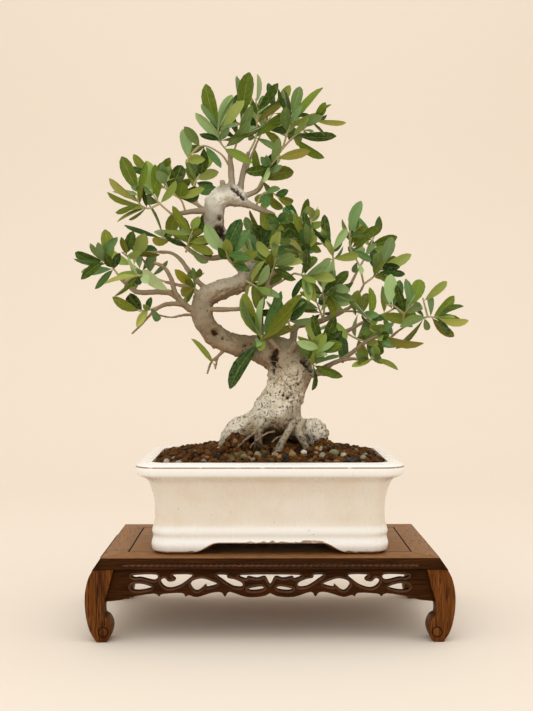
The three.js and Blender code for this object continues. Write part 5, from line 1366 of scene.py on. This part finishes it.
class BONSAI_OT_drain_screens(bpy.types.Operator):
    """Squares of plastic mesh over the drain holes"""

    bl_idname = "bonsai.drain_screens"
    bl_label = "Drain Screens"

    def execute(self, context):
        plastic = moulded_mesh()
        for node in ("drain_screen_left", "drain_screen_right"):
            finished(softened_copy(node, 0.2), f"moulded_{node}", [plastic], [node])
        return {"FINISHED"}


class BONSAI_OT_soil(bpy.types.Operator):
    """Mound of fired clay granules round the roots"""

    bl_idname = "bonsai.soil"
    bl_label = "Soil"

    def execute(self, context):
        body = earth(context.scene.bonsai_soil)
        finished(body, "granular_soil", [fired_granules()], ["soil"], 60)
        return {"FINISHED"}


# ---------------------------------------------------------------- wood


def rod(bm, path, radius_at, sides, kind=0):
    """A closed rod along a path. radius_at takes the share of the path and the angle round it."""
    rows = len(path) - 1
    frames = []
    normal = Vector((0.31, 0.87, 0.12))
    for k, middle in enumerate(path):
        tangent = (path[min(k + 1, rows)] - path[max(k - 1, 0)]).normalized()
        normal = (normal - tangent * normal.dot(tangent)).normalized()
        frames.append((middle, tangent.cross(normal), normal))

    def place(column, row):
        middle, across, up = frames[row]
        angle = 2 * math.pi * column / sides
        return middle + (across * math.cos(angle) + up * math.sin(angle)) * radius_at(row / rows, angle)

    tube = rolled(bm, sides, rows, place)
    ends = list({edge for vert in tube for edge in vert.link_edges if edge.is_boundary})
    bmesh.ops.edgeloop_fill(bm, edges=ends)
    faces = list({face for vert in tube for face in vert.link_faces})
    bmesh.ops.recalc_face_normals(bm, faces=faces)
    for face in faces:
        face.material_index = kind


# The limbs are made somewhat thinner than they are drawn, since bark is added to them, and none is thinner
# than the cells that blend the wood can hold.
LIMB_SHARE = 0.84
LEAST_RADIUS = 1.6
BARK_SMOOTHINGS = 2
# The radius where the bark's lumps have their full height, and the one from which wood counts as thick.
LUMPY_RADIUS = 13.0
THICK_RADIUS = 12.0
# Shares of a hollow's radius: where it begins, and where a lip of bark stands round it.
HOLLOW_FROM = 1.25
HOLLOW_LIP = 1.35


def trunk_radii(share):
    """The trunk's radius at a share of its points."""
    place = min(share * (len(TRUNK) - 1), len(TRUNK) - 1.001)
    k = int(place)
    return TRUNK[k][3] + (TRUNK[k + 1][3] - TRUNK[k][3]) * (place - k)


def bare_wood():
    """Rods for the trunk, the surface roots and the limbs, and points along them with their radii."""
    bm = bmesh.new()
    stem = flowing([at(x, z, y) for x, z, y, _ in TRUNK], 5)
    rod(bm, stem, lambda s, a: trunk_radii(s) * (1 + 0.07 * math.sin(2 * a + 11 * s)
                                                 + 0.05 * math.sin(3 * a - 23 * s)), 24)
    axes = [(point, trunk_radii(k / (len(stem) - 1))) for k, point in enumerate(stem)]
    for paths, share in ((LIMBS, LIMB_SHARE), (ROOTS, 1.0)):
        for path, depth, radii in paths:
            points = flowing(deep(path, depth), 5)

            def radius_at(place, _, first=radii[0] * share, last=radii[1] * share):
                return max(first + (last - first) * place ** 0.8, LEAST_RADIUS)

            rod(bm, points, radius_at, 12)
            axes += [(point, radius_at(k / (len(points) - 1), 0)) for k, point in enumerate(points)]
    return bm, axes


def barked(mesh, axes, relief):
    """Lumps, fissures and hollows pressed into the blended wood, in keeping with its thickness."""
    tree = KDTree(len(axes))
    for k, (point, _) in enumerate(axes):
        tree.insert(point, k)
    tree.balance()
    bm = bmesh.new()
    bm.from_mesh(mesh)
    scaled(bm, 1 / MM)
    skin = BVHTree.FromBMesh(bm)
    scars = []
    for x, z, radius, depth in HOLLOWS:
        hit = skin.ray_cast(EYE, (at(x, z, 0) - EYE).normalized())[0]
        if hit is not None:
            scars.append((hit, radius, depth))
    for _ in range(BARK_SMOOTHINGS):
        bmesh.ops.smooth_vert(bm, verts=bm.verts, factor=0.5, use_axis_x=True, use_axis_y=True,
                              use_axis_z=True)
    bm.normal_update()
    # The layer named hollow marks where the bark is painted near black: painted shade in the hollows and the
    # recess.
    hollow, girth = (bm.verts.layers.float.new(name) for name in ("hollow", "girth"))
    moves = []
    for vert in bm.verts:
        spot = vert.co
        bulk = min(axes[tree.find(spot)[1]][1] / LUMPY_RADIUS, 1.4)
        shares = [(1 / (away * away + 4), axes[k][1]) for _, k, away in tree.find_n(spot, 9)]
        vert[girth] = min(sum(w * r for w, r in shares) / sum(w for w, _ in shares) / THICK_RADIUS, 1.0)
        lumps = noise.noise(spot * 0.06) * 1.5 + noise.noise(spot * 0.15 + Vector((7, 3, 1)))
        drawn_out = Vector((spot.x * 0.16, spot.y * 0.16, spot.z * 0.07))
        fissures = -max(0.0, 0.35 - abs(noise.noise(drawn_out))) * 2
        grain = noise.noise(spot * 0.42) * 0.45 + noise.noise(spot * 0.9) * 0.22
        rise = relief * (lumps * bulk + (fissures + 0.3) * bulk * 0.8 + grain * min(bulk + 0.15, 1.0))
        for middle, radius, depth in scars:
            away = (spot - middle).length / radius + 0.45 * noise.noise(spot * 0.4) + 0.2 * noise.noise(spot)
            if away < 1.6:
                press = kept((HOLLOW_FROM - away) / 0.6)
                rise += 0.7 * max(0.0, 1 - abs(away - HOLLOW_LIP) / 0.25) - depth * press * 1.5
                vert[hollow] = max(vert[hollow], press * min(depth / 2.5, 1.0))
        # The front of the trunk's base, round its recess, is marked too: painted shade in the recess.
        if -26 < spot.x < 40 and spot.y < 12:
            vert[hollow] = max(vert[hollow], 0.75 * kept((240 - spot.z) / 8) * kept((spot.y + 27) / 7))
        moves.append(vert.normal * rise)
    for vert, move in zip(bm.verts, moves):
        vert.co += move
    return bm


class BONSAI_OT_wood(bpy.types.Operator):
    """Trunk, surface roots and limbs, grown together and barked"""

    bl_idname = "bonsai.wood"
    bl_label = "Wood"

    def execute(self, context):
        settings = context.scene.bonsai_tree
        bm, axes = bare_wood()
        piece = finished(bm, "barked_wood", [olive_bark(settings)], ["trunk"], 180)
        blend = piece.modifiers.new("grown_together", "REMESH")
        blend.mode = "VOXEL"
        blend.voxel_size = settings.cell
        blend.use_smooth_shade = True
        grown = resolved(piece)
        body = barked(grown, axes, settings.relief / MM)
        scaled(body, MM)
        body.to_mesh(grown)
        body.free()
        grown.shade_smooth()
        return {"FINISHED"}


# ---------------------------------------------------------------- leaves

# Length of a full leaf, which leans out of the drawn plane by as much as it looks shorter, within limits.
LEAF_FULL = 38.0
LEAN = (6.0, 22.0)
# The part of a twig that bears leaves.
LEAFY = (0.2, 0.95)
# How far a tip may slide along its sight line to find a clear place, in turn, and how clear is enough.
SLIDES = (1, -1, 0.5, -0.5, 1.4, -1.4, 0.1, 1.8, -1.8, 2.2, -2.2)
CLEAR = 6.0
# Half widths of a leaf along its length: a short stalk, the widest part past the middle, a blunt tip.
STATIONS = (
    (0.0, 0.05), (0.07, 0.09), (0.2, 0.5), (0.37, 0.86), (0.56, 1.0), (0.75, 0.94), (0.9, 0.64), (1.0, 0.12),
)
# Leaves are made a little broader than drawn, since they curl, and none is slimmer than a share of its
# length: one that is drawn slimmer is turned about its own axis instead.
BROADER = 1.06
SLIMMEST = 0.27
# What a leaf's random bend draws from: fold along the rib, droop, twist and sway, and its light.
FOLD = (0.2, 0.6)
DROOP = (-0.05, 0.16)
TWIST = 0.6
SWAY = 0.08
DARKEST = 0.55
LIGHTER = 1.4
# Each drawn leaf has fellows from the same joint, turned and shortened, which fill the shoot out.
# For each: its turn, its share of the length, and its chance of growing, which is greater by FELLOW_CHANCE
# outside the rosette.
FELLOWS = ((0.85, 0.85, 0.4), (-1.2, 0.7, 0.15))
FELLOW_CHANCE = 0.25
FELLOW_TURNS = (0.6, 1.25)
FELLOW_SIZES = (0.8, 1.15)
FELLOW_WIDTHS = (0.35, 0.95)
FELLOW_COLOURS = "MSOMSTGDDNOMDSOT"
RULED_COLOURS = "MDSOMTDO"
# The rosette in front of the trunk keeps its lower side open: no added leaf reaches below this height.
ROSETTE_FOOT = 322
# Shoots that stand alone on the limbs: path, depth and number of leaves.
EXTRA_SHOOTS = (
    (((2, 416), (8, 437)), (-27, -36), 6),
    (((31, 419), (50, 415)), (-36, -30), 5), (((62, 388), (78, 402)), (0, -14), 5),
    (((-30, 420), (-14, 446)), (24, 40), 6), (((-9, 433), (2, 456)), (50, 62), 6),
    (((15, 447), (34, 462)), (80, 92), 6), (((66, 362), (58, 384)), (14, 22), 5),
    (((-102, 445), (-92, 462)), (30, 20), 5), (((54, 316), (66, 336)), (-32, -40), 6),
    (((26, 352), (20, 368)), (-18, -26), 5), (((-28, 410), (-14, 402)), (-10, -24), 6),
)
# A leaf that hangs alone on the bare twig under the left bend.
LONE_LEAF = (((-66, 306), (-67.6, 308.5)), (-22, -25), "O", ((-93.2, 340.3, 7),))
TWIG_RADII = (1.45, 0.9)
# An added leaf is left out where its place is tighter than this.
LEAST_CLEAR = 0.8
# The sage green that the lightest leaves lean to.
FADED = "#9aab7c"


def drawn_numbers():
    """The rule's own draws, from 0 to 1."""
    seed = 2849
    while True:
        seed = (seed * 1664525 + 1013904223) % 4294967296
        yield seed / 4294967296


def leafy_share(pair, count):
    """Where along its twig a leaf of the given pair stands, if the twig bears count leaves."""
    return LEAFY[0] + (LEAFY[1] - LEAFY[0]) * (pair / math.ceil(count / 2))


def turned(index):
    """Leaves stand on either side in turn."""
    return -1 if index % 2 else 1


def ruled_tips(path, count, numbers):
    """Tips and widths of the leaves that a shoot bears by rule."""
    (x0, z0), (x1, z1) = path[-2:]
    heading = math.atan2(z1 - z0, x1 - x0)
    tips = []
    for i in range(count):
        base = along([Vector(point) for point in path], leafy_share(i // 2 + 1, count))
        turn = 0.1 if i == count - 1 else turned(i) * (0.75 + 0.4 * next(numbers))
        length = 27 + 10 * next(numbers)
        tips.append((base.x + length * math.cos(heading + turn), base.y + length * math.sin(heading + turn),
                     9 + 4 * next(numbers)))
    return tips


def placed_leaf(room, owner, base, tip, index, least=-99.0):
    """Base, axis, length, width and facing of a leaf whose tip slides along its sight line to a clear place.
    It also returns how far the nearest other thing is."""
    x, z, width = tip
    seen = (base - at(x, z, base.y)).length
    lean = math.sqrt(max(LEAF_FULL ** 2 - seen ** 2, 0.0))
    depth = kept(lean, *LEAN) * turned(index)
    best = None
    for slide in SLIDES:
        end = at(x, z, base.y + depth * slide)
        spots = [base.lerp(end, step) for step in (0.25, 0.5, 0.75, 1.0)]
        left = room.left(owner, spots)
        if best is None or left > best[2] + 0.01:
            best = (end, spots, left)
        if left >= CLEAR:
            break
    if best[2] > least:
        for spot in best[1]:
            room.mark(owner, spot)
        room.freeze()
    axis = (best[0] - base).normalized()
    length = (best[0] - base).length
    facing = (EYE - base).normalized()
    facing = (facing - axis * facing.dot(axis)).normalized()
    full = max(width, length * SLIMMEST)
    turn = math.acos(min(width / full, 1.0)) * turned(index)
    facing.rotate(Matrix.Rotation(turn, 3, axis))
    return (base, axis, length, full, facing), best[2]


def seen_from_front(point):
    """Where a point lies on the drawn elevation: the reverse of at()."""
    reach = (point.y - EYE.y) / -EYE.y
    return Vector((EYE.x + (point.x - EYE.x) / reach, EYE.z + (point.z - EYE.z) / reach))


def fellow_tip(base, tip, turn, share):
    """A drawn tip turned about its joint and brought nearer to it."""
    joint = seen_from_front(base)
    run = Vector(tip[:2]) - joint
    run.rotate(Matrix.Rotation(turn, 2))
    return *(joint + run * share), tip[2]


def leaf_pattern():
    """One leaf, a unit long and two units wide: an upper and a lower skin that meet along the edge."""
    bm = bmesh.new()
    uv = bm.loops.layers.uv.new("UVMap")
    rows = len(STATIONS) - 1
    upper = bmesh.ops.create_grid(bm, x_segments=4, y_segments=rows, size=1.0)["verts"]
    for vert in upper:
        vert.co.y = (vert.co.y + 1) * rows / 2
    for face in bm.faces:
        for loop in face.loops:
            loop[uv].uv = ((loop.vert.co.x + 1) / 2, loop.vert.co.y / rows)
    for vert in upper:
        across = vert.co.x
        share, half = STATIONS[round(vert.co.y)]
        vert.co = (across * half, share, 0.5 * (1 - across * across))
    lower = bmesh.ops.duplicate(bm, geom=everything(bm))["geom"]
    under = [item for item in lower if isinstance(item, bmesh.types.BMFace)]
    bmesh.ops.reverse_faces(bm, faces=under)
    for vert in corners(under):
        vert.co.z = -vert.co.z
    for face in under:
        face.material_index = 1
    bmesh.ops.remove_doubles(bm, verts=bm.verts, dist=1e-5)
    for vert in bm.verts:
        if vert.co.y in (0.0, 1.0):
            vert.co.z = 0.0
    bmesh.ops.remove_doubles(bm, verts=bm.verts, dist=1e-5)
    bmesh.ops.recalc_face_normals(bm, faces=bm.faces)
    mesh = bpy.data.meshes.new("leaf_pattern")
    bm.to_mesh(mesh)
    bm.free()
    return mesh


def add_leaf(bm, pattern, leaf, shade, draws):
    """A leaf bent, twisted and tinted at random. Its skins take the spray's second and third finishes."""
    base, axis, length, width, facing = leaf
    side = axis.cross(facing)
    first_vert, first_face = len(bm.verts), len(bm.faces)
    bm.from_mesh(pattern)
    bm.verts.ensure_lookup_table()
    bm.faces.ensure_lookup_table()
    fold, droop, twist = draws.uniform(*FOLD), draws.uniform(*DROOP), draws.uniform(-TWIST, TWIST)
    sway = draws.uniform(-SWAY, SWAY)
    tint = bm.verts.layers.float_color["tint"]
    light = DARKEST + LIGHTER * draws.random() ** 1.3
    tone = (Vector(linear(shade)[:3]) * light).lerp(Vector(linear(FADED)[:3]), 0.45 * max(light - 1.0, 0.0))
    for vert in bm.verts[first_vert:]:
        across, share, thick = vert.co
        reach = across * width * BROADER / 2
        spin = twist * (share - 0.4)
        lift = fold * abs(reach) - droop * length * share * share + thick * 0.5 + reach * math.sin(spin)
        aside = reach * math.cos(spin) + sway * length * math.sin(share * math.pi)
        vert.co = base + axis * (share * length) + side * aside + facing * lift
        vert[tint] = (*tone, 1.0)
    for face in bm.faces[first_face:]:
        face.material_index += 1


def twig_radius(share, _):
    return TWIG_RADII[0] + (TWIG_RADII[1] - TWIG_RADII[0]) * share


def all_shoots():
    """Every spray's shoots: the drawn ones, and each extra one with the spray that it starts nearest to."""
    grown = {name: list(shoots) for name, shoots in SPRAYS.items()}
    for path, depth, count in EXTRA_SHOOTS:
        start = deep(path, depth)[0]
        nearest = min(SPRAYS, key=lambda name: min(
            (point - start).length for shoot in SPRAYS[name] for point in deep(shoot[0], shoot[1])))
        grown[nearest].append((path, depth, "", count))
    grown["rosette"].append(LONE_LEAF)
    return grown


def leafy_sprays(settings):
    """Every spray as its own mesh, with the leaves in the places that the table and the rule give."""
    draws = random.Random(settings.seed)
    numbers = drawn_numbers()
    room = wood_room()
    for name, shoots in SPRAYS.items():
        for path, depth, _, _ in shoots:
            room.mark_rod(name, deep(path, depth), (1.5, 1.0), 8)
    room.freeze()
    pattern = leaf_pattern()
    made = {}
    for name, shoots in all_shoots().items():
        twigs, blades = bmesh.new(), bmesh.new()
        for bm in (twigs, blades):
            bm.loops.layers.uv.new("UVMap")
            bm.verts.layers.float_color.new("tint")
        for path, depth, _, _ in shoots:
            rod(twigs, flowing(deep(path, depth), 4), twig_radius, 6)
        for path, depth, letters, leaves in shoots:
            tips = ruled_tips(path, leaves, numbers) if isinstance(leaves, int) else leaves
            points = deep(path, depth)
            for i, tip in enumerate(tips):
                base = along(points, leafy_share(i // 2 + 1 - 0.2 * (1 - i % 2), len(tips)))
                leaf, _ = placed_leaf(room, name, base, tip, i)
                letter = letters[i % len(letters)] if letters else draws.choice(RULED_COLOURS)
                add_leaf(blades, pattern, leaf, LEAF_COLOURS[letter], draws)
            for turn, scale, chance in FELLOWS if len(tips) > 1 else ():
                for i, tip in enumerate(tips):
                    if draws.random() > chance + (0.0 if name == "rosette" else FELLOW_CHANCE):
                        continue
                    base = along(points, leafy_share(i // 2 + 0.7, len(tips)))
                    other = fellow_tip(base, tip, turn * turned(i) * draws.uniform(*FELLOW_TURNS),
                                       scale * draws.uniform(*FELLOW_SIZES))
                    other = (*other[:2], other[2] * draws.uniform(*FELLOW_WIDTHS))
                    if name == "rosette" and other[1] < ROSETTE_FOOT:
                        continue
                    leaf, clear = placed_leaf(room, name, base, other, i + 1, LEAST_CLEAR)
                    if clear > LEAST_CLEAR:
                        shade = LEAF_COLOURS[draws.choice(FELLOW_COLOURS)]
                        add_leaf(blades, pattern, leaf, shade, draws)
        take_in(twigs, blades)
        made[name] = twigs
    bpy.data.meshes.remove(pattern)
    return made


class BONSAI_OT_sprays(bpy.types.Operator):
    """Leafy shoots"""

    bl_idname = "bonsai.sprays"
    bl_label = "Sprays"

    def execute(self, context):
        settings = context.scene.bonsai_tree
        finishes = [young_bark(settings), olive_leaf(False), olive_leaf(True)]
        for name, bm in leafy_sprays(settings).items():
            finished(bm, f"leafy_{name}", finishes, [f"spray_{name}"], 50)
        return {"FINISHED"}


# ---------------------------------------------------------------- stage


# Paper, in metres. It lies flat as far as PAPER_FLAT behind the middle, and then rises in a quarter circle
# with a radius of one metre. PAPER_RUN is its length and PAPER_HALF is half its width.
PAPER_FLAT = 1.2
PAPER_FRONT = -3.6
PAPER_RUN = 8.8
PAPER_HALF = 4
LIGHT_SHADE = "#dbeeff"
ROOM_SHADE = "#fff5e4"
ROOM_STRENGTH = 1.05
LENS = 54.32
SENSOR = 36.0
AIM = Vector((-3.5, 0.0, 318.9))


def area_light(name, spot, aim, size, watts):
    light = bpy.data.lights.new(name, "AREA")
    light.shape = "RECTANGLE"
    light.size, light.size_y = size
    light.energy = watts
    light.color = linear(LIGHT_SHADE)[:3]
    lamp = bpy.data.objects.new(name, light)
    bpy.context.collection.objects.link(lamp)
    lamp.location = spot
    lamp.rotation_euler = (Vector(aim) - Vector(spot)).to_track_quat("-Z", "Y").to_euler()


class BONSAI_OT_stage(bpy.types.Operator):
    """Seamless paper, soft lights and the camera"""

    bl_idname = "bonsai.stage"
    bl_label = "Stage"

    def execute(self, context):
        settings = context.scene.bonsai_stage
        bm = bmesh.new()
        bmesh.ops.create_grid(bm, x_segments=1, y_segments=40, size=1.0)
        for vert in bm.verts:
            run = (vert.co.y + 1) * PAPER_RUN / 2 + PAPER_FRONT
            angle = kept(run - PAPER_FLAT, 0.0, math.pi / 2)
            rise = max(run - PAPER_FLAT - math.pi / 2, 0.0)
            back = min(run, PAPER_FLAT) + math.sin(angle)
            vert.co = (vert.co.x * PAPER_HALF, back, 1 - math.cos(angle) + rise)
        bmesh.ops.recalc_face_normals(bm, faces=bm.faces)
        mesh = bpy.data.meshes.new("paper")
        bm.to_mesh(mesh)
        bm.free()
        mesh.shade_smooth()
        mesh.materials.append(plain_paper(settings))
        paper = bpy.data.objects.new("paper", mesh)
        context.collection.objects.link(paper)
        area_light("front_light", (-0.5, -2.2, 1.5), (0, 0, 0.3), (2.4, 1.8), settings.key)
        area_light("top_light", (0.12, -0.25, 2.2), (0, 0, 0.2), (1.8, 1.8), settings.top)
        area_light("wall_light", (0, 0.7, 2.6), (0, 2.4, 0.9), (3.0, 0.6), settings.wall)
        world = bpy.data.worlds.new("room")
        world.use_nodes = True
        inputs = {"Color": linear(ROOM_SHADE), "Strength": ROOM_STRENGTH}
        fill_inputs(world.node_tree, world.node_tree.nodes["Background"], inputs)
        context.scene.world = world
        context.scene.view_settings.view_transform = "Standard"
        lens = bpy.data.cameras.new("camera")
        lens.lens = LENS
        lens.sensor_width = SENSOR
        camera = bpy.data.objects.new("camera", lens)
        context.collection.objects.link(camera)
        camera.location = EYE * MM
        camera.rotation_euler = (AIM * MM - camera.location).to_track_quat("-Z", "Y").to_euler()
        context.scene.camera = camera
        return {"FINISHED"}


# ---------------------------------------------------------------- add-on

STEPS = (
    BONSAI_OT_stand_top, BONSAI_OT_legs, BONSAI_OT_aprons, BONSAI_OT_pot, BONSAI_OT_drain_screens,
    BONSAI_OT_soil, BONSAI_OT_wood, BONSAI_OT_sprays, BONSAI_OT_stage,
)
SETTINGS = {
    "bonsai_stand": StandSettings, "bonsai_pot": PotSettings, "bonsai_soil": SoilSettings,
    "bonsai_tree": TreeSettings, "bonsai_stage": StageSettings,
}


class BONSAI_PT_panel(bpy.types.Panel):
    """Sizes, colours and steps of the bonsai"""

    bl_idname = "BONSAI_PT_panel"
    bl_label = "Olive Bonsai"
    bl_space_type = "VIEW_3D"
    bl_region_type = "UI"
    bl_category = "Bonsai"

    def draw(self, context):
        for name, group in SETTINGS.items():
            box = self.layout.box()
            for field in group.__annotations__:
                box.prop(getattr(context.scene, name), field)
        for step in STEPS:
            self.layout.operator(step.bl_idname)


def register():
    for kind in (*SETTINGS.values(), *STEPS, BONSAI_PT_panel):
        bpy.utils.register_class(kind)
    for name, group in SETTINGS.items():
        setattr(bpy.types.Scene, name, PointerProperty(type=group))


def unregister():
    for name in SETTINGS:
        delattr(bpy.types.Scene, name)
    for kind in reversed((*SETTINGS.values(), *STEPS, BONSAI_PT_panel)):
        bpy.utils.unregister_class(kind)


def main():
    register()
    for step in STEPS:
        group, name = step.bl_idname.split(".")
        getattr(getattr(bpy.ops, group), name)()
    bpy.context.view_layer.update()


if __name__ == "__main__":
    main()
